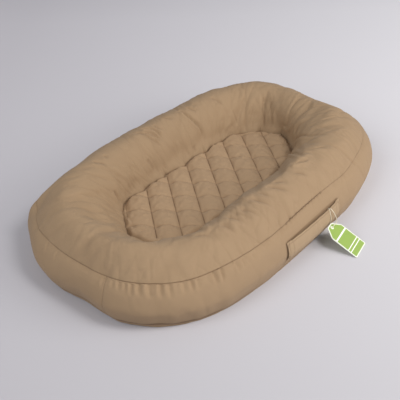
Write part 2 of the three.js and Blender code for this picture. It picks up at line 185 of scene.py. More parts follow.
def grid_faces(rows, columns, cyclic, looped=False, first=0, flip=False):
    """Quads of a grid. Its columns close into a ring if cyclic, and its rows if looped."""
    row, column = np.arange(rows if looped else rows - 1), np.arange(columns if cyclic else columns - 1)
    i, j = np.meshgrid(row, column, indexing="ij")
    k, m = (j + 1) % columns, (i + 1) % rows
    faces = np.stack([i * columns + j, i * columns + k, m * columns + k, m * columns + j], -1)
    faces = faces.reshape(-1, 4) + first
    return faces[:, ::-1] if flip else faces


# Materials


def srgb(r, g, b):
    def linear(v):
        v /= 255
        return v / 12.92 if v <= 0.04045 else ((v + 0.055) / 1.055) ** 2.4

    return (linear(r), linear(g), linear(b), 1)


def scaled(colour, factor):
    return tuple(min(1, c * factor) for c in colour[:3]) + (1,)


class Nodes:
    """Short ways to add and link the nodes of one material."""

    def __init__(self, name):
        self.material = bpy.data.materials.new(name)
        self.material.use_nodes = True
        self.tree = self.material.node_tree
        self.shader = self.tree.nodes["Principled BSDF"]

    def add(self, kind, **values):
        node = self.tree.nodes.new("ShaderNode" + kind)
        for key, value in values.items():
            if hasattr(node, key):
                setattr(node, key, value)
            else:
                node.inputs[key.replace("_", " ")].default_value = value
        return node

    def link(self, a, b):
        self.tree.links.new(a, b)

    def feed(self, sockets, values):
        """Sets each socket to its value, or links it if the value is another node's output."""
        for socket, value in zip(sockets, values):
            if isinstance(value, (int, float, tuple)):
                socket.default_value = value
            else:
                self.link(value, socket)

    def math(self, operation, a, b=0.0):
        node = self.add("Math", operation=operation)
        self.feed(node.inputs, (a, b))
        return node.outputs[0]

    def times(self, a, b):
        return self.math("MULTIPLY", a, b)

    def affine(self, value, gain, offset):
        return self.math("ADD", self.times(value, gain), offset)

    def mix(self, factor, a, b):
        node = self.add("Mix", data_type="RGBA")
        self.feed([node.inputs[index] for index in (0, 6, 7)], (factor, a, b))
        return node.outputs[2]

    def noise(self, vector, scale, detail=2.0, rough=0.5):
        node = self.add("TexNoise", Scale=scale, Detail=detail, Roughness=rough)
        self.link(vector, node.inputs["Vector"])
        return node.outputs["Fac"]

    def dress(self, base, rough, height, strength, distance, **values):
        """Links the colour, the roughness and a bump, and sets the shader's other sockets."""
        bump = self.add("Bump", Strength=strength, Distance=distance)
        self.link(height, bump.inputs["Height"])
        ends = {"Base Color": base, "Roughness": rough, "Normal": bump.outputs[0]}
        for key, output in ends.items():
            self.link(output, self.shader.inputs[key])
        for key, value in values.items():
            self.shader.inputs[key.replace("_", " ")].default_value = value
        return self.material


# The colour that painted shade darkens the cloth towards
PAINTED_SHADE_COLOUR = srgb(104, 78, 54)
MOTTLE = 0.06  # how uneven the dye is
WAVE_RADIANS = 20  # of a wave texture in a unit of length at scale 1


def canvas(name, colour, pitch=0.9 * MM, weave=0.5):
    """Plain-woven cloth: crossing threads in the cloth's own metres, uneven dye, and shade painted into its
    creases, seams and folds from a vertex attribute.
    """
    n = Nodes(name)
    uv = n.add("UVMap", uv_map="cloth").outputs[0]
    place = n.add("TexCoord").outputs["Object"]
    scale = TURN / pitch / WAVE_RADIANS
    threads = []
    uneven = {"Distortion": 0.6, "Detail": 1.0, "Detail_Scale": 3.0}
    for way in ("X", "Y"):
        wave = n.add("TexWave", bands_direction=way, Scale=scale, **uneven)
        n.link(uv, wave.inputs["Vector"])
        threads.append(wave.outputs["Fac"])
    woven = n.times(n.math("ADD", *threads), 0.5)
    woven = n.math("ADD", woven, n.times(n.noise(uv, 900.0), 0.5))
    dye = n.noise(place, 22.0, 4.0, 0.6)
    fleck = n.noise(place, 420.0, 3.0)
    base = n.mix(dye, scaled(colour, 1 - 2 * MOTTLE), scaled(colour, 1 + 1.6 * MOTTLE))
    base = n.mix(n.times(fleck, 0.16), base, scaled(colour, 0.7))
    base = n.mix(n.noise(place, 95.0, 5.0, 0.65), scaled(colour, 1 - MOTTLE), base)
    base = n.mix(n.times(woven, 0.10), scaled(colour, 0.9), base)
    # Painted shade: the cloth darkens towards the shade colour by the vertex attribute
    base = n.mix(n.add("Attribute", attribute_name="crease").outputs["Fac"], base, PAINTED_SHADE_COLOUR)
    shine = {"Sheen_Weight": 0.06, "Sheen_Roughness": 0.5, "Specular_IOR_Level": 0.2}
    return n.dress(base, n.affine(fleck, 0.12, 0.84), woven, weave, 0.25 * MM, **shine)


def fibre(name, colour):
    """Loose white filling: soft clumps and fine stray hairs."""
    n = Nodes(name)
    place = n.add("TexCoord").outputs["Object"]
    clump = n.noise(place, 70.0, 5.0, 0.7)
    hair = n.noise(place, 1400.0, 3.0, 0.7)
    base = n.mix(clump, scaled(colour, 0.86), colour)
    height = n.math("ADD", clump, n.times(hair, 0.2))
    return n.dress(base, n.affine(hair, 0.1, 0.88), height, 0.6, 2 * MM, Sheen_Weight=0.4)


def cotton(name, colour, twist):
    """Twisted cotton: pale and darker strands with a little fluff."""
    n = Nodes(name)
    strand = n.noise(n.add("TexCoord").outputs["Object"], twist, 4.0, 0.6)
    base = n.mix(strand, scaled(colour, 0.78), scaled(colour, 1.05))
    return n.dress(base, n.affine(strand, 0.15, 0.75), strand, 0.5, 0.15 * MM, Sheen_Weight=0.3)


def card(name, colour, stripes=()):
    """Matt printed card: paper grain, faint uneven ink and plain stripes across."""
    n = Nodes(name)
    place = n.add("TexCoord").outputs["Object"]
    grain = n.noise(place, 900.0, 4.0, 0.6)
    ink = n.noise(place, 60.0, 3.0)
    base = n.mix(n.times(ink, 0.5), scaled(colour, 0.95), scaled(colour, 1.06))
    base = n.mix(n.times(grain, 0.12), base, scaled(colour, 0.82))
    if stripes:
        along = n.add("Attribute", attribute_name="along_card").outputs["Fac"]
    for at, half in stripes:
        away = n.math("ABSOLUTE", n.math("SUBTRACT", along, at))
        base = n.mix(n.math("LESS_THAN", away, half), base, srgb(246, 246, 238))
    return n.dress(base, n.affine(grain, 0.15, 0.5), grain, 0.15, 0.05 * MM)


canvas_cloth = canvas("canvas", srgb(169, 142, 112))
quilt_cloth = canvas("quilt canvas", srgb(177, 148, 117))
strap_cloth = canvas("strap canvas", srgb(178, 152, 122), pitch=0.8 * MM)
lining_cloth = canvas("lining", srgb(222, 214, 198), pitch=0.5 * MM, weave=0.3)
fibre_fill = fibre("fibre filling", srgb(240, 238, 233))
sewing_thread = cotton("sewing thread", srgb(150, 122, 92), 2600.0)
tie_string = cotton("cotton string", srgb(236, 226, 204), 1500.0)

# Meshes


def make_object(name, verts, faces, material, slot=None, smoothed=True):
    mesh = bpy.data.meshes.new(name)
    mesh.from_pydata(np.asarray(verts, float).tolist(), [], faces)
    mesh.validate()
    mesh.polygons.foreach_set("use_smooth", [smoothed] * len(mesh.polygons))
    mesh.materials.append(material)
    obj = bpy.data.objects.new(name, mesh)
    SCENE.collection.objects.link(obj)
    return obj


def set_attribute(mesh, name, per_vertex):
    mesh.attributes.new(name, "FLOAT", "POINT").data.foreach_set("value", per_vertex.astype(np.float32))


def lay_cloth(obj, uv, crease):
    """Gives each vertex its place on the flat cloth, in metres, and how much shade is painted on it."""
    mesh = obj.data
    layer = mesh.uv_layers.new(name="cloth")
    loops = np.empty(len(mesh.loops), int)
    mesh.loops.foreach_get("vertex_index", loops)
    layer.uv.foreach_set("vector", uv[loops].astype(np.float32).ravel())
    set_attribute(mesh, "crease", crease)
    return obj


def fit(obj, body, node=None):
    """Puts an object on its body in the place of its solid, and hides that solid if one is named."""
    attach(obj, body)
    if node:
        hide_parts(node)


def shell(name, grid, thickness, cyclic, material, uv, crease=None, inner_step=4, middle=False):
    """A thin closed cloth: the grid outside, a coarser layer inside, and rims.

    With middle, the first row closes on its centre.
    """
    rows, columns = grid.shape[:2]
    kept = sorted({*range(0, rows, inner_step), rows - 1})
    inside = (grid - surface_normals(grid, cyclic) * thickness)[kept]
    count = rows * columns
    faces = [grid_faces(rows, columns, cyclic)]
    faces.append(grid_faces(len(kept), columns, cyclic, first=count, flip=True))
    j = np.arange(columns if cyclic else columns - 1)
    k = (j + 1) % columns
    last, inner_last = (rows - 1) * columns, count + (len(kept) - 1) * columns
    faces.append(np.stack([last + j, last + k, inner_last + k, inner_last + j], -1))
    # Shade painted on each vertex, outside and inside
    marks = np.zeros(grid.shape[:2]) if crease is None else crease
    verts = [grid.reshape(-1, 3), inside.reshape(-1, 3)]
    flat = [uv.reshape(-1, 2), uv[kept].reshape(-1, 2)]
    painted_shading = [marks.ravel(), marks[kept].ravel()]
    if middle:
        centre = count + len(kept) * columns
        faces.append(np.stack([k, j, np.full_like(j, centre)], -1))
        faces.append(np.stack([j + count, k + count, np.full_like(j, centre + 1)], -1))
        verts.append(np.array([grid[0].mean(0), inside[0].mean(0)]))
        flat.append(np.zeros((2, 2)))
        painted_shading.append(np.zeros(2))
    else:
        faces.append(np.stack([k, j, j + count, k + count], -1))
    faces = [row for block in faces for row in block.tolist()]
    if not cyclic:
        for column, turn in ((0, 1), (columns - 1, -1)):
            for a, b in zip(range(len(kept) - 1), range(1, len(kept))):
                rim = [r * columns + column for r in range(kept[a], kept[b] + 1)]
                rim += [count + b * columns + column, count + a * columns + column]
                faces.append(rim[::turn])
    obj = make_object(name, np.vstack(verts), faces, material, "canvas")
    return lay_cloth(obj, np.vstack(flat), np.concatenate(painted_shading))


def boundary_edges(faces):
    """Directed edges that only one face has, in the order of its corners."""
    edges = {(a, b): True for face in faces for a, b in zip(face, face[1:] + face[:1])}
    return [(a, b) for a, b in edges if (b, a) not in edges]


def thick_sheet(name, verts, faces, drop, material, slot, crease=None):
    """A closed layer: the given surface on top and the same surface lower by drop, joined at the edge."""
    count = len(verts)
    below = verts - UP * np.reshape(drop, (-1, 1))
    edge = [[b, a, a + count, b + count] for a, b in boundary_edges(faces)]
    under = [[v + count for v in reversed(face)] for face in faces]
    obj = make_object(name, np.vstack([verts, below]), faces + under + edge, material, slot)
    # Shade painted on the top surface only
    marks = np.zeros(count) if crease is None else crease
    return lay_cloth(obj, np.vstack([verts[:, :2], below[:, :2]]), np.concatenate([marks, marks * 0]))


def capped(grid, ends):
    """Vertices and faces of a solid: the rings of a grid in turn, and a fan to a middle point at each end."""
    rows, columns = grid.shape[:2]
    count = rows * columns
    faces = grid_faces(rows, columns, True).tolist()
    for first, centre, step in ((0, count, -1), (count - columns, count + 1, 1)):
        ring = [first + k for k in range(columns)]
        faces += [[a, b, centre][::step] for a, b in zip(ring, ring[1:] + ring[:1])]
    return np.vstack([grid.reshape(-1, 3), ends]), faces


def tube(route, radius, sides, squeeze=None):
    """Vertices and faces of a round tube along a route. squeeze(run, turn) scales its radius."""
    tangent = unit(np.gradient(route, axis=0))
    side = np.cross(tangent[0], [0.3, 0.5, 0.8])
    turn = np.arange(sides) * TURN / sides
    rings = []
    for at, middle, way in zip(lengths_along(route), route, tangent):
        side = unit(side - way * (side @ way))
        up = np.cross(way, side)
        size = radius * (squeeze(at, turn) if squeeze else np.ones(sides))
        rings.append(middle + np.outer(np.cos(turn) * size, side) + np.outer(np.sin(turn) * size, up))
    return capped(np.array(rings), route[[0, -1]])


# Sizes of the ring

band_boxes = [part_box(n) for n in ("side_band_far_side", "side_band_handle_side")]
HALF_SEAM_GAP = 0.15 * MM
BASE_SEAM_INSET = 9 * MM
HALF_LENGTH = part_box("base_panel")[1].x + BASE_SEAM_INSET
HALF_WIDTH = max(high.y for low, high in band_boxes) + 0.25 * MM
BASE_SEAM_HEIGHT = min(low.z for low, high in band_boxes) - HALF_SEAM_GAP
TOP_SEAM_HEIGHT = max(high.z for low, high in band_boxes) + 0.1 * MM
CROWN_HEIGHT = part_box("top_panel")[1].z
WELL_SEAM_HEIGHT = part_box("top_panel")[0].z + 0.1 * MM
OUTLINE_POWER = 3.03
WAIST_POWER = 2.8
WELL_POWER = 3.16
BULGE_HEIGHT = 36 * MM
TOP_SEAM_INSET = 20 * MM
CROWN_INSET = 84 * MM
WAIST_INSET = 94 * MM
RING_DEPTH = 150 * MM
FLOOR_INSET = 24 * MM
FLOOR_MIDDLE_INSET = 84 * MM
END_LIFT = 10 * MM
END_LIFT_RUN = 120 * MM
SLUMP = 26 * MM
SLUMP_INSET = 60 * MM
SLUMP_ANGLE = math.radians(225)
SLUMP_END_SHARES = (0.26, 0.65)
SLUMP_CORNER_SHARES = (-0.1, 0.6)
CANVAS = 1.2 * MM


def power_at(inset):
    down = np.minimum((inset - WAIST_INSET) / (RING_DEPTH - WAIST_INSET), 1)
    outside = lerp(OUTLINE_POWER, WAIST_POWER, np.maximum(inset, 0) / WAIST_INSET)
    return np.where(inset <= WAIST_INSET, outside, lerp(WAIST_POWER, WELL_POWER, down))


def slump_at(angle, inset, height):
    """How far the inner side sinks: round one corner of the well, but not in the middle of a long side."""
    share = np.clip((inset - SLUMP_INSET) / (RING_DEPTH - SLUMP_INSET), 0, 1)
    depth = SLUMP * smooth(np.abs(np.cos(angle)), *SLUMP_END_SHARES)
    depth = depth * smooth(np.cos(angle - SLUMP_ANGLE), *SLUMP_CORNER_SHARES)
    return np.where(height >= WELL_SEAM_HEIGHT, depth * np.sin(math.pi * share) ** 2, 0)


def skin(angle, inset, height):
    """Points of the cover at angles round the ring, insets from its outline and heights."""
    power = power_at(inset)
    c, s = np.cos(angle), np.sin(angle)
    reach = (np.abs(c) ** power + np.abs(s) ** power) ** (-1 / power)
    x = (HALF_LENGTH - inset) * reach * c
    y = (HALF_WIDTH - inset) * reach * s
    run = np.maximum(0, np.abs(x) - (HALF_LENGTH - END_LIFT_RUN)) / END_LIFT_RUN
    lift = END_LIFT * run**2 * np.maximum(0, 1 - height / TOP_SEAM_HEIGHT)
    return np.stack(np.broadcast_arrays(x, y, height + lift - slump_at(angle, inset, height)), -1)


def ring_place(x, y):
    """The angle round the ring and the inset of places on the plan."""
    low, high = np.zeros(np.shape(x)), np.full(np.shape(x), HALF_WIDTH - 1 * MM)
    for _ in range(30):
        middle = (low + high) / 2
        power = power_at(middle)
        out = np.abs(x / (HALF_LENGTH - middle)) ** power + np.abs(y / (HALF_WIDTH - middle)) ** power > 1
        low, high = np.where(out, low, middle), np.where(out, middle, high)
    return np.arctan2(y / (HALF_WIDTH - low), x / (HALF_LENGTH - low)) % TURN, low


def round_ring(angle, places, values):
    """Values at angles, interpolated between places round the ring."""
    return np.interp(angle, places, values, period=TURN)


def between(a, b, inset_share, height_share):
    return (lerp(a[0], b[0], inset_share), lerp(a[1], b[1], height_share))


BASE_SEAM = (BASE_SEAM_INSET, BASE_SEAM_HEIGHT)
BULGE = (0, BULGE_HEIGHT)
TOP_SEAM = (TOP_SEAM_INSET, TOP_SEAM_HEIGHT)
CROWN = (CROWN_INSET, CROWN_HEIGHT)
WELL_SEAM = (RING_DEPTH, WELL_SEAM_HEIGHT)
band_curve = spline([BASE_SEAM, BULGE, between(BULGE, TOP_SEAM, 0.34, 0.6), TOP_SEAM], 200)
SHOULDER = between(TOP_SEAM, CROWN, 0.46, 0.7)
INNER_SLOPE = [between(CROWN, WELL_SEAM, *shares) for shares in ((0.39, 0.18), (0.73, 0.54))]
top_curve = spline([TOP_SEAM, SHOULDER, CROWN, *INNER_SLOPE, WELL_SEAM], 200)
section = np.vstack([band_curve, top_curve[1:]])
section_run = lengths_along(section)
SEAM_RUN = lengths_along(band_curve)[-1]
COVER_RUN = section_run[-1]

# The well's edge in the photograph, in two stretches: from the near left corner round the far side to
# the far right corner, and down the right end. In between it lies behind the near brow.

SEEN_WELL = [
    (130, 236.5), (127.5, 230), (125.5, 223), (124, 216), (122.8, 209), (127, 200), (131, 197),
    (136, 194.5), (143.5, 190.5), (149, 185), (156, 181), (164, 177), (165.5, 174.5), (173, 170.5),
    (186, 165), (188, 161.5), (193, 157.5), (200, 153.5), (207, 151.5), (211, 146.5), (217, 143),
    (224, 140), (227.5, 137), (233, 134.5), (241, 133), (250, 132.8), (256, 132.3), (261.5, 130.5),
    (270, 133.5), (282, 134.5), (287, 139), (290, 144), (292.5, 150), (294, 156.5),
]  # fmt: skip
FOOT_CLEAR = 2 * MM
FOOT_MOST = 16 * MM
FOOT_RUN = 40 * MM
NEAR_QUIET = np.radians([-60, -50, -165, -175])
foot_angles, foot_insets = ring_place(*on_plane(SEEN_WELL, WELL_SEAM_HEIGHT + FOOT_CLEAR)[:, :2].T)
foot_moves = np.clip(foot_insets - RING_DEPTH, -FOOT_MOST, FOOT_MOST)
foot_angles = np.concatenate([foot_angles, NEAR_QUIET % TURN])
foot_moves = np.concatenate([foot_moves, np.zeros(len(NEAR_QUIET))])


def foot_move(angle):
    """How far inwards the foot of the well's wall lies from its even outline."""
    return round_ring(angle, foot_angles, foot_moves)


def cover_point(angle, run):
    """A point of the cover at an angle and at a distance along its section from the base seam."""
    inset = np.interp(run, section_run, section[:, 0])
    height = np.interp(run, section_run, section[:, 1])
    return skin(angle, inset + smooth(run, COVER_RUN - FOOT_RUN, COVER_RUN) * foot_move(angle), height)


EVEN_INSET = 60 * MM


def even_angles(count):
    """Angles evenly spread round the ring, midway across the outer half of it."""
    dense = np.linspace(0, TURN, 20001)
    run = lengths_along(skin(dense, EVEN_INSET, CROWN_HEIGHT))
    return np.interp(np.linspace(0, run[-1], count, endpoint=False), run, dense)


def even_cover(rows, columns):
    """A grid of the cover, evenly spread round the ring and along its section."""
    return cover_point(*np.meshgrid(even_angles(columns), np.linspace(0, COVER_RUN, rows)))


def on_surface(grid, pixels):
    """Points of a cyclic grid's surface under pixels of the photograph."""
    tree = BVHTree.FromPolygons(grid.reshape(-1, 3).tolist(), grid_faces(*grid.shape[:2], True).tolist())
    hits = [tree.ray_cast(CAMERA_PLACE, pixel_ray(x, y))[0] for x, y in pixels]
    return np.array([h for h in hits if h is not None])


# The top seam in the photograph, from the left end along the near side to the right end

SEEN_SEAM = [
    (36, 226.5), (45, 236.5), (55, 247), (65, 255), (75, 260.5), (85, 266.5), (95, 271.5), (105, 276),
    (120, 280.5), (130, 282.5), (150, 283.3), (170, 283.3), (183, 281.5), (200, 277), (210, 272.5),
    (220, 268), (240, 257.3), (250, 251.3), (262, 243.3), (272, 236), (280, 229.5), (286, 224.5),
    (291, 218.7), (297, 213), (303, 207.6), (309.5, 201.8), (316, 196.5), (322, 191), (335, 181),
    (344, 174.5), (350, 166), (355, 158), (359, 151), (362, 144), (363.5, 137),
]  # fmt: skip
SEAM_MOST = 10 * MM
SEAM_QUIET = np.radians([40, 170])
seam_hits = on_surface(even_cover(60, 300), SEEN_SEAM)
rising = section[:, 1].argmax()
seam_angles = ring_place(seam_hits[:, 0], seam_hits[:, 1])[0]
seam_moves = np.interp(seam_hits[:, 2], section[:rising, 1], section_run[:rising]) - SEAM_RUN
seam_angles = np.concatenate([seam_angles, SEAM_QUIET])
seam_moves = np.concatenate([np.clip(seam_moves, -SEAM_MOST, SEAM_MOST), np.zeros(len(SEAM_QUIET))])


def blur_round(values, reach, times):
    """Values round the ring, each averaged with its neighbours as far as reach, times over."""
    for _ in range(times):
        values = np.mean([np.roll(values, k) for k in range(-reach, reach + 1)], 0)
    return values


COLUMNS = 1120
BAND_ROWS = 44
TOP_ROWS = 110
ROW_DRAW = 0.6  # how much closer the rows are at the seams
angles = even_angles(COLUMNS)
seam_run = blur_round(SEAM_RUN + round_ring(angles, seam_angles, seam_moves), 8, 3)
band_shares = eased(BAND_ROWS, 0, 1, ROW_DRAW)[:, None]
top_shares = eased(TOP_ROWS, 0, 1, ROW_DRAW)[1:, None]
RUN = np.vstack([band_shares * seam_run, lerp(seam_run, COVER_RUN, top_shares)])
ANGLE = np.broadcast_to(angles, RUN.shape)
DEGREES = np.degrees(ANGLE) % 360
AROUND = np.broadcast_to(np.arange(COLUMNS) / COLUMNS, RUN.shape)
cover = cover_point(ANGLE, RUN)

# The near side of the ring sinks under the line of sight to the edge of the well in the photograph

SEEN_BROW = [
    (120, 236), (130, 236.8), (134, 237.5), (143, 239.5), (152, 241.5), (160, 241.5), (168, 239.5),
    (181, 235.5), (190, 232), (197, 229.5), (206, 223.5), (214, 220), (219, 216.5), (224, 210),
    (228, 206), (234, 202.5), (238.5, 198.5), (243, 193.5), (250, 190), (256, 187.5), (262.5, 182),
    (270, 177.5), (280, 171.5), (284, 166.5), (289, 160.5), (294, 156.5), (299, 152),
]  # fmt: skip
BROW_CLEAR = 0.5  # pixels
BROW_SOFT = 1.6  # pixels
BROW_STARTS = (178, 196)  # degrees round the ring
BROW_ENDS = (40, 62)  # degrees before a whole turn
BROW_RUNS = (0.13, 0.10)  # metres before the well seam
BROW_LAST = (-2, 6)  # pixels beside its last one


def sunk_brow(grid):
    u, v, depth = project(grid)
    near = smooth(DEGREES, *BROW_STARTS) * smooth(360 - DEGREES, *BROW_ENDS)
    near = near * smooth(RUN, *(COVER_RUN - run for run in BROW_RUNS))
    near = near * (1 - smooth(u, *(SEEN_BROW[-1][0] + pixels for pixels in BROW_LAST)))
    above = np.interp(u, *np.transpose(SEEN_BROW)) + BROW_CLEAR - v
    sink = BROW_SOFT * np.logaddexp(0, above / BROW_SOFT) * depth / (FOCAL_PIXELS * CAMERA_UP.z)
    return grid - UP * (sink * near)[..., None]


cover = sunk_brow(cover)
normals = surface_normals(cover, True)
push = np.zeros(RUN.shape)  # how far the cover stands out along its normals
painted_shade = np.zeros(RUN.shape)  # how much shade is painted on it, in its creases, seams and folds


# Paints shade on the cover, at least by amount
def paint_shade(amount):
    np.maximum(painted_shade, amount, out=painted_shade)


# Wrinkles of the cover


def upsample(grid, row_at, column_at):
    """Smooth values of a grid, whose columns close into a ring, at fractional rows and columns."""
    rows, columns = grid.shape

    def weights(t):
        here, ahead = (3 * t**3 - 6 * t**2 + 4) / 6, (3 * t**2 - 3 * t**3 + 3 * t + 1) / 6
        return (1 - t) ** 3 / 6, here, ahead, t**3 / 6

    row, column = np.floor(row_at).astype(int), np.floor(column_at).astype(int)
    by_row, by_column = weights(row_at - row), weights(column_at - column)
    total = np.zeros(np.shape(row_at))
    for i in range(4):
        r = np.clip(row + i - 1, 0, rows - 1)
        for j in range(4):
            total += by_row[i] * by_column[j] * grid[r, (column + j - 1) % columns]
    return total


def unevenness(seed, around, across, lean=0.0):
    """Smooth lumps, from about -1 to 1: around of them round the ring, each across metres long."""
    random = np.random.default_rng(seed)
    grid = random.uniform(-1.6, 1.6, (int(COVER_RUN / across) + 4, around))
    return upsample(grid, RUN / across + 1, (AROUND + lean * RUN) * around)


def creases(seed, around, across, lean, sharpness=0.2):
    """Fine valleys of depth 1 between soft lumps, leaning round the ring as they climb."""
    finer = unevenness(seed + 1, around * 2, across * 0.6, lean)
    return -bell(unevenness(seed, around, across, lean) + 0.5 * finer, sharpness)


def blur_ring(grid, rows, columns):
    """A grid averaged twice over a window of rows and columns, round the ring."""

    def window(a, size, axis, mode):
        pad = [(0, 0), (0, 0)]
        pad[axis] = (size + 1, size)
        total = np.cumsum(np.pad(a, pad, mode=mode), axis=axis)
        places = np.arange(a.shape[axis])
        ahead = np.take(total, places + 2 * size + 1, axis=axis)
        return (ahead - np.take(total, places, axis=axis)) / (2 * size + 1)

    for _ in range(2):
        grid = window(window(grid, columns, 1, "wrap"), rows, 0, "edge")
    return grid


TRIAL_COLUMNS = 330
TRIAL_ROWS = 50
TRIAL_SHRUNK = 2 * MM
TRIAL_FRAMES = 20
LOOSE_FROM_SEAM = 30 * MM
WRINKLE_CAP = 12 * MM
WRINKLE_SHARE = 0.8
WRINKLE_FADE = 26 * MM  # at the well seam
CLOTH_SETTINGS = {
    "quality": 4,
    "mass": 0.25,
    "tension_stiffness": 20,
    "compression_stiffness": 20,
    "shear_stiffness": 6,
    "bending_stiffness": 0.06,
    "use_pressure": True,
    "uniform_pressure_force": 4,
    "vertex_group_mass": "sewn",
    "vertex_group_shrink": "loose",
    "shrink_min": 0.0,
    "shrink_max": -0.07,
}


def blown_cloth():
    """Wrinkles of the cover as loose cloth blown up over its filling, sewn down at its three seams."""
    rest = even_cover(TRIAL_ROWS, TRIAL_COLUMNS)
    out = surface_normals(rest, True)
    start = (rest - out * TRIAL_SHRUNK).reshape(-1, 3)
    obj = make_object("trial", start, grid_faces(TRIAL_ROWS, TRIAL_COLUMNS, True).tolist(), canvas_cloth)
    sewn = obj.vertex_groups.new(name="sewn")
    loose = obj.vertex_groups.new(name="loose")
    step = COVER_RUN / (TRIAL_ROWS - 1)
    for row, at in enumerate(np.linspace(0, COVER_RUN, TRIAL_ROWS)):
        verts = list(range(row * TRIAL_COLUMNS, (row + 1) * TRIAL_COLUMNS))
        from_seams = min(at, abs(at - SEAM_RUN), COVER_RUN - at)
        sewn.add(verts, 1.0 if from_seams < 0.55 * step else 0.0, "REPLACE")
        loose.add(verts, float(smooth(from_seams, 0, LOOSE_FROM_SEAM)), "REPLACE")
    cloth = obj.modifiers.new("cloth", "CLOTH")
    for key, value in CLOTH_SETTINGS.items():
        setattr(cloth.settings, key, value)
    cloth.settings.effector_weights.gravity = 0
    cloth.collision_settings.use_collision = False
    for number in range(1, TRIAL_FRAMES + 1):
        SCENE.frame_set(number)
    blown = obj.evaluated_get(bpy.context.evaluated_depsgraph_get()).data
    at = np.empty(len(blown.vertices) * 3)
    blown.vertices.foreach_get("co", at)
    SCENE.frame_set(1)
    mesh = obj.data
    bpy.data.objects.remove(obj)
    bpy.data.meshes.remove(mesh)
    moved = ((at.reshape(rest.shape) - rest) * out).sum(-1)
    moved = np.clip(moved, -WRINKLE_CAP, WRINKLE_CAP)
    fine = moved - blur_ring(moved, 6, 9)
    return upsample(fine, RUN / step, AROUND * TRIAL_COLUMNS)


push += WRINKLE_SHARE * blown_cloth() * smooth(COVER_RUN - RUN, 0, WRINKLE_FADE)

from_seam = RUN - seam_run
above_seam = np.maximum(from_seam, 0)
below_seam = np.maximum(-from_seam, 0)
from_well = COVER_RUN - RUN

# The filling stands fuller at the well's corner on the strap's side and at +X
FULL_ANGLE = -30  # degrees
FULL_SPREAD = 32  # degrees
FULL_RUN = 46 * MM  # from the well seam
turned = (DEGREES - FULL_ANGLE + 180) % 360 - 180
push += swell(from_well - FULL_RUN, height=14, width=33) * bell(turned, FULL_SPREAD)

# Lumps of the filling: height in mm, seed, how many round the ring, metres across, metres of fade at the well
for height, seed, around, across, fade in ((1.6, 3, 14, 0.09, 0.05), (0.5, 5, 46, 0.05, 0.03)):
    push += height * MM * unevenness(seed, around, across) * smooth(from_well, 0, fade)
# The faint radial drag of the cloth over them
drag = unevenness(7, 150, 0.07) * (0.55 + 0.45 * unevenness(8, 12, 0.1))
push += 0.32 * MM * drag * smooth(from_well, 0, 0.02)

# Creases of the cloth, in patches, with shade painted in their valleys: a seed, how many round the ring,
# metres across, lean, depth in mm
near_brow = bell(DEGREES - 290, 38) * (1 - smooth(from_well, 60 * MM, 110 * MM))
CREASE_SHARE = 1.3
BAND_CREASE_SHARE = 0.4
CREASES = [
    (41, 52, 0.085, 0.10, 1.5),
    (43, 64, 0.070, -0.14, 1.3),
    (45, 96, 0.050, 0.02, 1.0),
    (47, 150, 0.034, 0.22, 0.7),
    (49, 150, 0.030, -0.25, 0.7),
]
for seed, around, across, lean, depth in CREASES:
    patch = 0.25 + 0.75 * smooth(unevenness(seed + 20, 16, 0.08), -0.35, 0.75)
    valleys = creases(seed, around, across, lean) * patch * smooth(from_well, 0, 0.015)
    valleys *= lerp(1, BAND_CREASE_SHARE, smooth(below_seam, 0, 12 * MM)) * (1 - 0.8 * near_brow)
    push += CREASE_SHARE * depth * MM * valleys
    # Shade painted in the creases' valleys
    paint_shade(-0.10 * valleys)

# The top seam: a groove with puffed cloth on both sides, and shade painted along it, darker where the
# photograph shows it so
push -= ridge(from_seam, height=0.9, width=0.9) + swell(from_seam, height=0.8, width=8)
push -= ridge(below_seam, height=0.5, width=7) * smooth(below_seam, 0, 0.8 * MM)
SEAM_SHADES = (0.13, 0.6)  # elsewhere, and at the near left
CLOSING_X = -8 * MM
CLOSING_HALF = 52 * MM
seam_shade = lerp(*SEAM_SHADES, bell(DEGREES - 225, 45))
closing = bell(cover[..., 0] - CLOSING_X, CLOSING_HALF) * (cover[..., 1] < 0)
# Shade painted along the seam's groove, stronger at the near left and over the closing
painted_shade += np.maximum(seam_shade, closing) * bell(from_seam, 0.6 * MM)
push -= ridge(from_seam, height=0.7, width=1.5) * closing

# Patches of gathers under the top seam
patches = smooth(unevenness(11, 18, 0.2), -0.2, 0.8)
gathered = cusp(below_seam, 15 * MM) * cusp(above_seam, 5 * MM)
push += 0.6 * MM * unevenness(13, 118, 0.5) * patches * gathered

# Puckers of the base seam, and shade painted along it, darkest on a jagged line at the near left
push += ridge(RUN, height=1.1, width=6) * unevenness(17, 190, 0.5) * (0.4 + patches)
near_left = bell(DEGREES - 215, 30)
puckers = unevenness(19, 140, 0.5)
push += ridge(RUN, height=2.4, width=7) * puckers * near_left
jagged = RUN - near_left * (3 + 2.5 * puckers) * MM
# Shade painted along the base seam
paint_shade(lerp(0.5, 0.95, near_left) * bell(jagged, 2.4 * MM))

# Folds that the photograph shows: width and depth in mm, ridge share, and the pixels that they run through

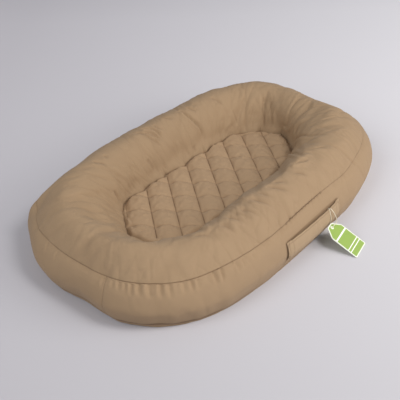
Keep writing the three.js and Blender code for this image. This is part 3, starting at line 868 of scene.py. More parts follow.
FAR_CREASES = [  # the far left crown
    (4.0, 0.8, 0.5, (133, 132.5), (140, 131), (146, 135), (152, 140), (158, 144), (161, 148), (164, 153)),
    (4.0, 1.5, 0.6, (139, 127), (150, 127), (157, 131), (162, 137), (166, 141)),
    (3.6, 1.3, 0.6, (143, 131), (152, 134), (158, 138), (162, 142), (164.5, 144)),
    (3.6, 0.9, 0.5, (152, 123), (160, 128), (166, 131)),
    (3.6, 1.0, 0.5, (160, 115), (166, 116), (176, 119)),
    (4.2, 1.5, 0.6, (175, 109), (182, 110), (187, 115), (192, 120), (198, 126), (201, 131), (203, 137),
     (204, 143)),  # fmt: skip
    (4.0, 1.3, 0.5, (186, 105), (190, 107), (195, 110.5), (199, 113)),
    (3.6, 0.9, 0.5, (193, 104), (198, 104)),
    (4.0, 0.9, 0.5, (210, 97), (216, 99), (221, 104), (224.5, 105.5)),
    (5.0, 1.1, 0.5, (92, 159), (96, 160), (103, 162), (110, 166)),
    (5.0, 0.8, 0.5, (104, 154), (110, 157)),
    (6.0, 0.5, 0.5, (146, 159), (154, 168), (155, 175)),
    (4.0, 0.7, 0.5, (114, 190), (119, 199), (121, 207)),
    (5.0, 0.5, 0.5, (194, 145), (196, 153)),
]
WIDE_END_FOLD = (9.0, 1.8, 0.3, (284, 137), (286, 129), (289, 122), (294, 116), (300, 111))
END_FOLDS = [  # the far end
    (4.5, 0.7, 0.5, (263.5, 96), (262.4, 105.6), (262.4, 113), (262, 120)),
    (4.5, 0.4, 0.5, (271.8, 101), (270, 109), (267, 117)),
    (5.0, 0.6, 0.5, (232, 110), (236.5, 119.7), (239, 127)),
    (5.5, 1.6, -0.9, (299, 140), (302.5, 132), (307, 126), (314, 120)),
    (4.5, 2.2, 0.8, (295, 147), (300, 141.5), (308, 138), (317.5, 135), (327, 134.5)),
    (5.0, 1.2, 0.6, (303, 150), (309, 147.5), (317.6, 145.6), (327, 145.6), (336.5, 148)),
    (4.0, 2.2, 0.8, (293, 157.4), (300, 153.8), (306, 150.3), (312, 148.5)),
    (4.0, 2.2, 0.9, (289, 164), (298.8, 160.9), (305.9, 158.5), (312, 157)),
    (5.0, 0.8, 0.4, (317.6, 127), (326, 126.5), (335, 128)),
]
BROW_FOLDS = [  # near right over the brow of the well, and last the dimple beside the well
    (5.0, 1.5, 0.6, (218.6, 220), (227, 224.3), (234.3, 231.4), (240, 240)),
    (4.6, 1.7, 0.9, (222.5, 215), (233, 215.7), (243, 220), (251.4, 227)),
    (4.6, 1.4, 0.7, (237.5, 206.4), (247, 208.6), (257, 214.3), (264.3, 221.4)),
    (4.6, 1.5, 0.7, (245, 197.2), (253, 197), (264.3, 201.4), (274.3, 208.6), (278.6, 214.3)),
    (4.6, 1.4, 0.7, (265, 184.8), (275.7, 185.7), (287, 190), (295.7, 195.7)),
    (4.2, 1.2, 0.7, (271.5, 180), (281.4, 180.2), (290, 183)),
    (4.6, 1.2, 0.7, (292.9, 170.7), (301.4, 172.9), (310, 177)),
    (5.0, 1.1, 0.6, (191, 234), (201.4, 232.4), (211.4, 235.3), (218, 240.5)),
    (4.6, 0.9, 0.6, (229, 210), (239, 211.5), (249, 216), (256, 223)),
    (4.6, 0.9, 0.6, (252, 190.5), (262, 192), (273, 197), (282, 203)),
    (3.2, 2.2, 0.5, (116, 221), (120, 223.5), (125, 225.5)),
]
NEAR_STREAKS = [  # near left above the top seam
    (6.5, 0.9, 0.5, (78, 248), (85, 242), (93, 238)),
    (5.5, 0.9, 0.5, (92, 251), (99, 246), (106, 242)),
    (5.5, 0.9, 0.5, (104, 262), (110, 256), (115, 251)),
    (5.0, 0.8, 0.5, (112, 266), (116, 260), (119, 254)),
    (5.0, 1.0, 0.5, (121, 279), (123.5, 271), (127, 263), (130, 257)),
    (5.0, 0.8, 0.5, (105, 274), (110, 267), (113, 262)),
    (4.5, 0.9, 0.5, (138.5, 281), (141, 274), (142, 268)),
    (4.5, 0.6, 0.5, (129, 281), (131, 275), (134, 270)),
    (6.0, 0.7, 0.5, (62, 250), (67, 244), (72, 238)),
    (6.0, 0.6, 0.5, (50, 240), (54, 235), (58, 229)),
]
GATHERS = [  # under the top seam
    (2.6, 1.1, 0.6, (112.5, 280), (111.5, 287)),
    (2.6, 1.1, 0.6, (118.5, 281.5), (118, 288)),
    (2.8, 1.4, 0.6, (125, 283), (125, 290)),
    (3.0, 1.8, 0.6, (131, 283.5), (130.8, 290), (131, 295)),
    (3.4, 2.6, 0.6, (139, 283.5), (138.6, 290), (139, 296)),
    (3.4, 2.4, 0.6, (148.8, 284), (148.6, 290), (149, 297)),
    (3.4, 2.6, 0.6, (160.6, 284), (160.4, 290), (160.6, 297)),
    (3.6, 2.8, 0.6, (169.6, 284), (170, 290), (171, 297)),
    (3.0, 1.5, 0.6, (183, 282), (184, 288), (184.5, 294)),
    (3.0, 2.0, 0.6, (191, 280), (192.3, 286), (193, 292)),
    (3.0, 1.6, 0.6, (197.5, 279), (199, 285), (200, 291)),
    (3.2, 2.6, 0.6, (212.5, 271.5), (215, 276), (217, 283)),
    (3.4, 3.4, 0.6, (221, 268), (222.2, 273), (224, 281)),
    (3.0, 2.2, 0.6, (235, 261.5), (237.5, 266), (239, 271)),
    (2.8, 1.4, 0.6, (242, 258.5), (243.5, 262), (245, 267)),
    (2.6, 1.0, 0.6, (252.5, 253.5), (254, 258)),
    (2.8, 1.3, 0.6, (104, 278), (102, 282), (101, 287)),
    (2.8, 0.9, 0.6, (48, 242), (46.5, 247), (46, 252)),
    (2.8, 0.8, 0.6, (58, 251), (56, 256), (55, 261)),
]
PICKS = [  # where the closing thread draws the top seam together, with shade painted in the puckers
    (2.6, 1.2, 0.3, (290.4, 219.4), (292, 217.4)),
    (2.6, 1.2, 0.3, (295.8, 213.8), (297.2, 212.4)),
    (2.6, 1.2, 0.3, (308.8, 202.8), (310.2, 201.4)),
]
coarse_cover = cover[::4, ::5]


def fold(points, width, depth, ridge_share, fades, fold_shade, fold_shade_width):
    """Presses a fold along points and paints shade along its valley. The ridge share lifts the cloth on its
    right, or left if negative.
    """
    if len(points) < 2:
        return
    path = spline(list(points), 12)
    count = max(6, int(lengths_along(path)[-1] / (1.5 * MM)))
    path = evenly(path, count)
    reach = 3.6 * width
    near = np.all((cover > path.min(0) - reach) & (cover < path.max(0) + reach), axis=-1)
    if not near.any():
        return
    offset = cover[near][:, None, :] - path[None]
    distance = np.linalg.norm(offset, axis=-1)
    best = distance.argmin(1)
    picks = np.arange(len(best))
    tangent = unit(np.gradient(path, axis=0))
    side = np.sign((np.cross(tangent[best], normals[near]) * offset[picks, best]).sum(-1))
    d = distance[picks, best]
    t = best / (count - 1)
    taper = smooth(t, 0, fades[0]) * smooth(1 - t, 0, fades[1])
    lifted = side * d - math.copysign(1.7 * width, ridge_share)
    raised = abs(ridge_share) * bell(lifted, 1.2 * width)
    push[near] += depth * taper * (raised - bell(d, width))
    # Shade painted along the fold's valley
    painted_shade[near] = np.maximum(painted_shade[near], fold_shade * taper * bell(d, fold_shade_width * width))


def press(rows, deeper=1, wider=1, lift=1, fades=(0.3, 0.3), fold_shade=0.0, fold_shade_width=0.35, beyond=0):
    """Presses folds of the photograph. beyond draws each on past its end by a share of its last step."""
    for width, depth, ridge_share, *pixels in rows:
        if beyond:
            last, before = np.array(pixels[-1]), np.array(pixels[-2])
            pixels.append(tuple(last + beyond * (last - before)))
        points = on_surface(coarse_cover, pixels)
        fold(points, wider * width * MM, deeper * depth * MM, lift * ridge_share, fades, fold_shade, fold_shade_width)


# Shade is painted along the valleys of these folds, as strong as given
press(FAR_CREASES, deeper=3.3, fades=(0.15, 0.5), fold_shade=0.26, fold_shade_width=0.6)
press(END_FOLDS, deeper=2.0, fades=(0.12, 0.5), fold_shade=0.3)
press([WIDE_END_FOLD], deeper=2.0, fades=(0.12, 0.5), fold_shade=0.06)
press(BROW_FOLDS, deeper=2.2, wider=1.1, lift=0.6, fades=(0.3, 0.6), fold_shade=0.26, fold_shade_width=0.75)
press(NEAR_STREAKS, deeper=0.8, wider=1.3)
press(GATHERS, fades=(0.08, 0.6), fold_shade=0.12, beyond=0.5)
press(PICKS, fades=(0.05, 0.05), fold_shade=0.85)

# The two upright seams that join the band's strips

FRAME_COLUMNS = 56
JOIN_COLUMN = 3
join_angle = TURN * JOIN_COLUMN / FRAME_COLUMNS
joins = [int(np.abs(angles - a).argmin()) for a in (join_angle, join_angle + math.pi)]
for column in joins:
    apart = np.linalg.norm(cover - cover[:, column : column + 1], axis=-1)
    push -= swell(apart, height=0.5, width=1.6) * smooth(below_seam, 0, 1 * MM)

# The quilting's lines, and the pull where they meet the well seam, with shade painted along the well seam and
# at the foot of each steep line

DIAMOND_LENGTH = 57.9 * MM
DIAMOND_WIDTH = 73.5 * MM
QUILT_SHIFT = np.array([27.7 * MM, 25.3 * MM])
PILLOW_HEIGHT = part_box("quilt_face")[1].z - WELL_SEAM_HEIGHT
SEAM_CELL = 45 * MM  # of the well seam between two lines


def quilt_counts(x, y):
    """How many steep and how many level lines of quilting lie before a place in the well."""
    along = (x - QUILT_SHIFT[0]) / DIAMOND_LENGTH
    across = (QUILT_SHIFT[1] - y) / DIAMOND_WIDTH
    return along + across, along - across


def quilt_place(steep, level):
    x = QUILT_SHIFT[0] + (steep + level) * DIAMOND_LENGTH / 2
    y = QUILT_SHIFT[1] - (steep - level) * DIAMOND_WIDTH / 2
    return x, y


def off_line(count, cell):
    """Distance from the nearest line of quilting, which lie a cell apart."""
    return np.abs(count - np.round(count)) * cell


def wave(count):
    """0 on each line of quilting and 1 midway between two."""
    return np.abs(np.sin(math.pi * count))


seam_steep, seam_level = quilt_counts(cover[-1, :, 0], cover[-1, :, 1])
to_steep = off_line(seam_steep, SEAM_CELL)
pull = bell(to_steep, 4.5 * MM) + 0.35 * bell(off_line(seam_level, SEAM_CELL), 5 * MM)
push -= ridge(from_well, height=2.6, width=11) * pull
push += swell(from_well - 9 * MM, height=1.6, width=9) * wave(seam_steep) ** 0.8
# Shade painted along the well seam and at the foot of each steep line
paint_shade(0.7 * bell(from_well, 1.6 * MM))
paint_shade(0.45 * bell(to_steep, 1.4 * MM) * cusp(from_well, 6 * MM))

# The object's edge in the photograph, clockwise from the left, where the strap doesn't hide it

SEEN_EDGE = [
    (28, 222), (28.5, 215), (29.5, 210), (33, 203.5), (36, 199.5), (40, 195.5), (45, 191), (50, 186.5),
    (55, 182), (60, 177.5), (65, 173.5), (70, 169.5), (75, 166.5), (79, 164), (82, 161), (87, 157),
    (92, 153), (97, 149.8), (103, 146), (110, 142), (115, 139.2), (121, 135.7), (127, 132), (133, 129),
    (138, 127), (143, 124), (149, 120), (155, 117), (160, 114.3), (165, 112.5), (170, 110), (175, 107.5),
    (180, 104.5), (185, 102), (190, 99.5), (195, 96.5), (200, 94), (203, 93.5), (208, 91), (215, 88.5),
    (221, 88), (228, 86), (235, 84), (242, 83), (250, 81.7), (257, 81), (265, 82), (272, 83), (279, 84.3),
    (284, 87), (290, 88), (296, 90), (300, 92.5), (304, 93.5), (308, 96), (313, 99), (320, 101),
    (326, 103), (330, 105), (336, 107), (340, 109), (344, 111.5), (349, 112.7), (353, 116), (357, 119.7),
    (361, 125), (365, 131), (368, 136), (370, 141), (371.5, 147), (372.3, 153), (372, 160), (370.3, 167),
    (367.5, 175), (363.5, 183), (359, 190), (355, 196.5), (350.5, 202.5), (346, 207), (341, 211.5),
    (336, 216.5), (326, 226), (312, 238.8), (296, 252.7), (283, 263.5), (270, 275), (255, 286),
    (240, 296.5), (225, 305.5), (210, 312.3), (200, 315.7), (190, 318.5), (180, 320.3), (170, 321.6),
    (160, 322.4), (150, 322), (140, 321.2), (127, 319.4), (120, 317.8), (115, 316), (110, 313.5),
    (105, 310.5), (100, 307), (95, 303.5), (90, 300), (85, 296.5), (80, 293.7), (75, 291.8), (70, 290),
    (65, 287.5), (60, 284.6), (55, 281.3), (50, 277.5), (45, 272.5), (40, 266.5), (36, 260.5),
    (33, 252.5), (31, 244), (29.5, 235), (28.3, 228),
]  # fmt: skip
EDGE_PIECE = 38 * MM
EDGE_MOST = 12 * MM
EDGE_ROUNDS = 2


def beyond_edge(grid):
    """How far points are seen outside the photograph's edge, in pixels, and their depth."""
    u, v, depth = project(grid)
    corners = np.array(SEEN_EDGE)
    ahead = np.roll(corners, -1, 0) - corners
    best = np.full(u.shape, np.inf)
    signed = np.zeros(u.shape)
    for (x, y), (dx, dy) in zip(corners, ahead):
        share = np.clip(((u - x) * dx + (v - y) * dy) / (dx * dx + dy * dy), 0, 1)
        away = np.hypot(u - x - share * dx, v - y - share * dy)
        side = (u - x) * dy - (v - y) * dx
        closer = away < best
        best = np.where(closer, away, best)
        signed = np.where(closer, np.where(side > 0, away, -away), signed)
    return signed, depth


def edge_moves():
    """Moves along the normals that bring the ring's outline to the photograph's edge."""
    step = 4
    rows, columns = slice(0, None, 3), slice(0, None, step)
    beyond, depth = beyond_edge((cover + normals * push[..., None])[rows, columns])
    outer = beyond.argmax(0)
    picks = np.arange(len(outer))
    size = np.repeat(beyond[outer, picks] * depth[outer, picks] / FOCAL_PIXELS, step)
    run = np.repeat(RUN[rows, columns][outer, picks], step)
    size, run = blur_round(size, 4, 2), blur_round(run, 12, 2)
    return np.clip(size, -EDGE_MOST, EDGE_MOST) * bell(RUN - run, EDGE_PIECE)


# The cover

BASE_SETTLE = 7 * MM
BASE_SETTLE_RUN = 24 * MM
STRAP_LENGTH = 164 * MM
STRAP_BOTTOM, STRAP_TOP = (corner.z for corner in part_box("handle_strap_left"))
TUCK_RUN = 2.4 * MM
TUCK_IN = 1.2 * MM
TUCK_DOWN = 3.4 * MM
PRESSED_FLAT = 0.8  # share of the wrinkles behind the strap
SLIT_DROP = 0.5 * MM
SLIT_WIDTH = 1.8 * MM
SLIT_SHADE = 0.7
SLIT_END_SHADE = 0.45

on_strap_side = cover[..., 1] < 0
inside_end = STRAP_LENGTH / 2 - np.abs(cover[..., 0])
over_strap = cover[..., 2] - STRAP_TOP
behind_strap = smooth(inside_end + 15 * MM, 0, 20 * MM) * on_strap_side * smooth(below_seam, 4 * MM, 14 * MM)
push *= 1 - PRESSED_FLAT * behind_strap
# Shade painted on the band in the slit behind the strap's upper edge and beside the strap's ends
slit = bell(over_strap + SLIT_DROP, SLIT_WIDTH) * smooth(inside_end, 0, 6 * MM)
slit_end = bell(inside_end + 0.6 * MM, 1.4 * MM) * (over_strap < -5 * MM)
slit_shade = np.maximum(SLIT_SHADE * slit, SLIT_END_SHADE * slit_end)
paint_shade(on_strap_side * smooth(below_seam, 0, 4 * MM) * slit_shade)
for _ in range(EDGE_ROUNDS):
    push -= edge_moves() * (1 - behind_strap)
dressed = cover + normals * push[..., None]
dressed[..., 2] -= BASE_SETTLE * smooth(-RUN, -BASE_SETTLE_RUN, 0)
dressed[..., 2] = np.maximum(dressed[..., 2], 1 * MM)
tucked = smooth(-from_well, -TUCK_RUN, 0)[..., None]
dressed += tucked * (-unit(cover[-1] * LEVEL) * TUCK_IN - UP * TUCK_DOWN)
cloth_uv = np.stack([AROUND * 2.0, RUN], -1)
crown_row = int(np.abs(RUN[:, 0] - section_run[rising]).argmin())
outward = unit(normals[BAND_ROWS] * LEVEL)
top_uv = cover[crown_row, :, :2] + (section_run[rising] - RUN[BAND_ROWS:, :, None]) * outward[:, :2]

top = shell("top_panel_cover", dressed[BAND_ROWS:], CANVAS, True, canvas_cloth, top_uv, painted_shade[BAND_ROWS:])
fit(top, "cushion", "top_panel")
for name, (first, last) in {"far_side": joins, "handle_side": (joins[1], joins[0] + COLUMNS)}.items():
    strip = np.arange(first, last + 1) % COLUMNS
    grid, uv, crease = (a[: BAND_ROWS + 1][:, strip] for a in (dressed, cloth_uv, painted_shade))
    band = shell("band_" + name, grid, CANVAS, False, canvas_cloth, uv, crease)
    fit(band, "cushion", "side_band_" + name)

# The base: flat on the floor, curling up to the base seam

FLOOR_ROWS = 12
MIDDLE_SHARES = (0.05, 0.3, 0.55, 0.8)  # of the well's outline, for the rows in the middle
base_turn = spline([(FLOOR_INSET, 0), between((FLOOR_INSET, 0), BASE_SEAM, 0.75, 0.12), BASE_SEAM], 8)
flat_insets = np.linspace(RING_DEPTH, FLOOR_INSET, FLOOR_ROWS, endpoint=False)
base_rows = [skin(angles, inset, 0.0) for inset in flat_insets]
base_rows += [skin(angles, inset, height) for inset, height in base_turn]
base = np.array([base_rows[0] * share for share in MIDDLE_SHARES] + base_rows)
followed = smooth(np.arange(len(base)), len(MIDDLE_SHARES) + FLOOR_ROWS - 4, len(base) - 1)
base += followed[:, None, None] * (dressed[0] - base[-1])
base[..., 2] = np.maximum(base[..., 2], 0)
base[-1] = dressed[0]
# Shade painted along the base seam, on the panel's last row
base_painted_shade = np.zeros(base.shape[:2])
base_painted_shade[-1] = 0.6
base_panel = shell("base_panel_cloth", base, CANVAS, True, canvas_cloth, base[..., :2], base_painted_shade, 3, True)
fit(base_panel, "cushion", "base_panel")

# The quilted floor of the well

FACE_STEPS = 22  # of the net between two lines
WADDING_STEPS = 8
LINES_REACH = 8
LINE_DRAW = 0.55  # how much closer the net is at the lines
FACE_OVERLAP = 4 * MM  # under the foot of the wall
FACE_PUFF = 1.6
WADDING_INSET = 3 * MM
WADDING_PUFF = 1.3
MERGED_FROM = (185 * MM, 200 * MM)  # towards -X, where the last pillows run together
CROSSING_DIP = 0.42  # share of the height lost where two lines cross
CROSSING_WIDTH = 9 * MM
DRAG_DIP = 2.2 * MM  # beside each crossing
BORDER_RISE = 7 * MM
# Shade painted along the quilting's lines and in the dips beside each crossing, up to a cap
STEEP_SHADE, STEEP_LINE = 0.6, 0.7 * MM
LEVEL_SHADE, LEVEL_LINE = 0.35, 0.6 * MM
DIP_SHADE = 0.16
DARKEST = 0.8
RIPPLE_COUNT = 26
RIPPLE = 0.16 * MM
RIPPLE_LENGTHS = (9 * MM, 26 * MM)
WELL_LENGTH = HALF_LENGTH - RING_DEPTH
WELL_WIDTH = HALF_WIDTH - RING_DEPTH
CELL = math.hypot(DIAMOND_LENGTH, DIAMOND_WIDTH) / 2


def quilt_mesh(inset, steps):
    """A net along the quilting's lines, cut to the well's outline less inset.

    Its places, its faces and how far its places lie inside the foot of the wall.
    """
    shares = eased(steps, 0, 1, LINE_DRAW)[:-1]
    counts = np.concatenate([k + shares for k in range(-LINES_REACH, LINES_REACH)])
    x, y = quilt_place(*np.meshgrid(counts, counts, indexing="ij"))
    foot = foot_move(np.arctan2(y / WELL_WIDTH, x / WELL_LENGTH))
    foot = foot if inset > 0 else np.minimum(foot, 0)
    a, b = WELL_LENGTH - inset - foot, WELL_WIDTH - inset - foot
    out = (np.abs(x / a) ** WELL_POWER + np.abs(y / b) ** WELL_POWER) ** (1 / WELL_POWER)
    quads = grid_faces(len(counts), len(counts), False)
    quads = quads[(out.ravel()[quads] < 1).any(1)]
    shrink = np.minimum(1, 1 / np.maximum(out, 1e-9))
    used, where = np.unique(quads, return_inverse=True)
    flat = np.stack([x * shrink, y * shrink], -1).reshape(-1, 2)[used]
    turned, depth = ring_place(flat[:, 0], flat[:, 1])
    return flat, where.reshape(-1, 4).tolist(), depth - RING_DEPTH - foot_move(turned)


def quilt_height(flat, puffed, border):
    """Height of the quilting over its lines, deep along the steep ones and shallow along the level ones.

    With it comes the shade painted along the quilting's lines and in the dips beside the crossings.
    """
    steep, level = quilt_counts(flat[:, 0], flat[:, 1])
    to_steep, to_level = off_line(steep, CELL), off_line(level, CELL)
    merged = smooth(-flat[:, 0], *MERGED_FROM) * (1 - smooth(border, 8 * MM, 18 * MM))
    across = np.maximum(wave(steep), 0.85 * merged)
    height = puffed * across**0.5 * (0.82 + 0.18 * wave(level))
    height *= 1 - CROSSING_DIP * bell(np.hypot(to_steep, to_level), CROSSING_WIDTH)
    height -= ridge(to_level, height=1.3, width=1.3) * across**0.3
    right = (steep - np.round(steep)) * CELL
    dip = bell(right - 5 * MM, 6 * MM) * bell(to_level, 4 * MM)
    height -= DRAG_DIP * dip
    height *= smooth(border, 0, BORDER_RISE)
    crease = STEEP_SHADE * bell(to_steep, STEEP_LINE) * (1 - merged)
    crease = crease + LEVEL_SHADE * bell(to_level, LEVEL_LINE) + DIP_SHADE * dip
    crease *= smooth(border, 2 * MM, 11 * MM)
    return height, np.minimum(crease, DARKEST)


flat, quads, border = quilt_mesh(-FACE_OVERLAP, FACE_STEPS)
raised, crease = quilt_height(flat, PILLOW_HEIGHT * FACE_PUFF, border)
raised -= 2.5 * MM * smooth(-border, -2 * MM, 3 * MM)
random = np.random.default_rng(29)
ripple = np.zeros(len(flat))
for _ in range(RIPPLE_COUNT):
    way, phase = random.uniform(0, TURN, 2)
    along = flat @ [math.cos(way), math.sin(way)]
    ripple += np.sin(along * TURN / random.uniform(*RIPPLE_LENGTHS) + phase)
raised += RIPPLE * ripple * wave(quilt_counts(flat[:, 0], flat[:, 1])[0]) ** 0.5
verts = np.column_stack([flat, WELL_SEAM_HEIGHT + raised])
quilt = thick_sheet("quilt_face_cloth", verts, quads, CANVAS, quilt_cloth, "quilt_canvas", crease)
fit(quilt, "cushion", "quilt_face")

# What the cover holds

LAYER_GAP = 1.4 * MM
LAYER_CLEAR = 0.2 * MM
backing_low, backing_high = (corner.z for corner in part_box("quilt_backing"))
flat, quads, border = quilt_mesh(WADDING_INSET, WADDING_STEPS)
raised, _ = quilt_height(flat, PILLOW_HEIGHT * WADDING_PUFF, border)
raised -= 7 * MM * smooth(-border, -13 * MM, -2 * MM)
heights = np.maximum(WELL_SEAM_HEIGHT - CANVAS - LAYER_GAP + raised, backing_high + 1 * MM)
verts, drop = np.column_stack([flat, heights]), heights - backing_high - LAYER_CLEAR
wadding = thick_sheet("quilt_wadding_fibre", verts, quads, drop, fibre_fill, "fibre_fill")
fit(wadding, "cushion", "quilt_wadding")
dip = 0.15 * MM * np.sin(flat[:, 0] * 90) * np.cos(flat[:, 1] * 110) * smooth(border, 0, 8 * MM)
verts, drop = np.column_stack([flat, backing_high - 0.1 * MM + dip]), backing_high - backing_low - LAYER_CLEAR
backing = thick_sheet("quilt_backing_cloth", verts, quads, drop, lining_cloth, "lining")
fit(backing, "cushion", "quilt_backing")

INNER_COLUMNS = 224
INNER_STEP = COLUMNS // INNER_COLUMNS
inner_angles = angles[::INNER_STEP]
foot_outward = np.minimum(foot_move(inner_angles), 0)


def ring_solid(name, loop, material, slot):
    """A closed ring from the rows of its section's loop, anticlockwise seen along the ring."""
    rows, columns = loop.shape[:2]
    faces = grid_faces(rows, columns, True, looped=True).tolist()
    obj = make_object(name, loop.reshape(-1, 3), faces, material, slot)
    uv = np.stack([np.broadcast_to(inner_angles * 0.3, (rows, columns)), loop[..., 2]], -1)
    return lay_cloth(obj, uv.reshape(-1, 2), np.zeros(rows * columns))


def inner_ring(inset, height):
    """A ring inside the cover. One near the well keeps outside the foot of the wall."""
    beside_well = smooth(inset, FLOOR_MIDDLE_INSET, RING_DEPTH - 10 * MM)
    return skin(inner_angles, inset + beside_well * foot_outward, height)


FILL_GAP = 7 * MM
FILL_ROWS = slice(4, -9, 3)
FLUFF = 2 * MM
TIE_SIDE = RING_DEPTH - 8 * MM
fill_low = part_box("bolster_fill")[0].z
held = (dressed - surface_normals(dressed, True) * FILL_GAP)[FILL_ROWS, ::INNER_STEP]
fluff = blur_ring(np.random.default_rng(31).uniform(-1, 1, held.shape[:2]), 1, 1)
held = held - surface_normals(held, True) * np.abs(fluff)[..., None] * FLUFF
held[..., 2] = np.maximum(held[..., 2], fill_low + 6 * MM)
fill_floor = fill_low + 0.3 * MM
fill_rest = [(TIE_SIDE, height) for height in (32 * MM, 16 * MM, fill_floor)]
fill_rest += [(inset, fill_floor) for inset in (FLOOR_MIDDLE_INSET, FLOOR_INSET + 6 * MM)]
fill_rows = np.array([*held, *(inner_ring(*place) for place in fill_rest)])
fit(ring_solid("bolster_fibre", fill_rows, fibre_fill, "fibre_fill"), "cushion", "bolster_fill")

tie_low, tie_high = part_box("well_tie_wall")
tie_outer, tie_top = HALF_LENGTH - tie_high.x, tie_high.z - 4 * MM
tie = [(tie_outer, tie_low.z), (RING_DEPTH, tie_low.z), (RING_DEPTH, tie_top), (tie_outer, tie_top)]
tie_rows = np.array([inner_ring(*place) for place in tie])
fit(ring_solid("well_tie_cloth", tie_rows, lining_cloth, "lining"), "cushion", "well_tie_wall")

PAD_ROUND = 7 * MM
pad_low, pad_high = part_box("centre_pad")
pad_inset = HALF_LENGTH - pad_high.x
pad_turn = [(math.sin(a), 1 - math.cos(a)) for a in np.linspace(0, math.pi / 2, 5)]
pad_rows = [(pad_inset + PAD_ROUND * (1 - s), pad_low.z + PAD_ROUND * c) for s, c in pad_turn]
pad_rows += [(pad_inset + PAD_ROUND * c, pad_high.z - PAD_ROUND * (1 - s)) for s, c in pad_turn]
pad_angles = even_angles(160)
pad = capped(np.array([skin(pad_angles, *place) for place in pad_rows]), [UP * pad_low.z, UP * pad_high.z])
fit(make_object("centre_pad_fibre", *pad, fibre_fill, "fibre_fill"), "cushion", "centre_pad")

# The carry strap

STRAP_WIDTH = 36 * MM
STRAP_THICKNESS = 1.6 * MM
STRAP_STANDOFF = 4.5 * MM
STRAP_CORNER = 7 * MM
STRAP_EDGE = 0.8 * MM
END_STANDOFF = 1.8 * MM
SEAM_GAP = 0.3 * MM
HEM = 3.2 * MM
STITCHED_ENDS = (4 * MM, 14 * MM)
HITCH_X = 44 * MM
HITCH_LIFT = 1.1 * MM  # where the string holds the strap's upper edge off the band
HITCH_SPREAD = 20 * MM
HITCH_FROM = 16 * MM  # above the strap's lower edge
ANCHOR_LENGTH = 12 * MM
TONGUE = [(-0.05 * MM, 0.45), (-3.2 * MM, 0.4)]  # place and share of the strap's thickness
TONGUE_INSET = 0.7 * MM
STITCH_WIDTH = 0.8 * MM
STITCH_SINK = 0.35 * MM
WAVINESS = 0.18 * MM


def band_face(x, height):
    """Y of the band's outer face on the strap's side."""
    inset = np.interp(height, band_curve[:, 1], band_curve[:, 0])
    power = power_at(inset)
    return -(HALF_WIDTH - inset) * (1 - np.abs(x / (HALF_LENGTH - inset)) ** power) ** (1 / power)


def standoff(x):
    share = np.clip(x / STRAP_LENGTH + 0.5, 0, 1)
    return lerp(END_STANDOFF, STRAP_STANDOFF, np.sin(math.pi * share))


def both_faces(front, back):
    """A closed section: up the front and down the back."""
    return np.concatenate([front, back[::-1]])


def strap_half(side):
    """One half of the strap as a loft of sections along it, with a thin tongue that enters the other half."""
    end = STRAP_LENGTH / 2
    corner_start = end - STRAP_CORNER
    places = np.concatenate([eased(10, end, corner_start, 0), np.linspace(corner_start, 0, 60)[1:]])
    places = [(x, 1.0) for x in places] + TONGUE
    heights_up = np.concatenate([[0, 0.35, 0.9], eased(30, 1.8, 34.2, 0.3), [35.1, 35.65, 36]]) * MM
    rings, marks, uvs = [], [], []
    for x, fullness in places:
        cut = max(0, x - corner_start)
        low, high = STRAP_BOTTOM + cut, STRAP_TOP - cut
        height = low + heights_up / STRAP_WIDTH * (high - low)
        if fullness < 1:
            height = np.clip(height, STRAP_BOTTOM + TONGUE_INSET, STRAP_TOP - TONGUE_INSET)
        from_edge = np.minimum(height - low, high - height)
        upper = smooth(height, STRAP_BOTTOM + HITCH_FROM, STRAP_TOP)
        lifted = HITCH_LIFT * bell(x - HITCH_X, HITCH_SPREAD) * upper * (side > 0)
        middle = band_face(side * x, height) - standoff(x) - STRAP_THICKNESS / 2 - lifted
        half = STRAP_THICKNESS / 2 * np.sqrt(np.clip(from_edge / STRAP_EDGE, 0.02, 1)) * fullness
        stitched = bell(from_edge - HEM, STITCH_WIDTH)
        for at in STITCHED_ENDS:
            stitched = np.maximum(stitched, bell(end - x - at, STITCH_WIDTH))
        waved = WAVINESS * np.sin(x * 310 + height * 60)
        outer = middle - half + STITCH_SINK * stitched * (fullness == 1) + waved
        line = np.full_like(height, side * x)
        front, back = (np.column_stack([line, y, height]) for y in (outer, middle + half + waved))
        rings.append(both_faces(front, back))
        # Shade painted in the sunk stitch lines and along the strap's edges, half as strong on its back
        painted_shading = 0.35 * stitched + 0.25 * bell(from_edge, 0.5 * MM)
        marks.append(both_faces(painted_shading, painted_shading * 0.5))
        uvs.append(both_faces(np.column_stack([line, height]), np.column_stack([line, height + 0.04])))
    grid = np.array(rings)
    rows, columns = grid.shape[:2]
    faces = grid_faces(rows, columns, True, flip=side > 0).tolist()
    for first, turn in ((0, side < 0), ((rows - 1) * columns, side > 0)):
        for k in range(columns // 2 - 1):
            face = [first + k, first + k + 1, first + columns - 2 - k, first + columns - 1 - k]
            faces.append(face if turn else face[::-1])
    name = "strap_" + ("right" if side > 0 else "left")
    obj = make_object(name + "_cloth", grid.reshape(-1, 3), faces, strap_cloth, "canvas")
    lay_cloth(obj, np.array(uvs).reshape(-1, 2), np.array(marks).ravel())
    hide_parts("handle_" + name)
    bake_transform(obj)


def anchor(side):
    """An end of the strap, folded under and sewn down."""
    name = "right" if side > 0 else "left"
    node = "handle_" + name + "_anchor"
    low, high = (corner.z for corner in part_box(node))
    end = STRAP_LENGTH / 2
    places = np.linspace(end, end - ANCHOR_LENGTH, 14)
    x, heights = np.meshgrid(places, eased(24, low, high, 0.3), indexing="ij")
    y = band_face(side * x, heights) - SEAM_GAP - 1.1 * MM + 0.12 * MM * np.sin(heights * 700)
    grid = np.stack([side * x, y, heights], -1)
    if side > 0:
        grid = grid[:, ::-1]
    cloth = shell("strap_anchor_" + name, grid, 1.0 * MM, False, strap_cloth, grid[..., [0, 2]], inner_step=2)
    fit(cloth, "cushion", node)


for side in (-1, 1):
    strap_half(side)
for side in (-1, 1):
    anchor(side)

# Stitches that close the filling opening, on the seam above the strap

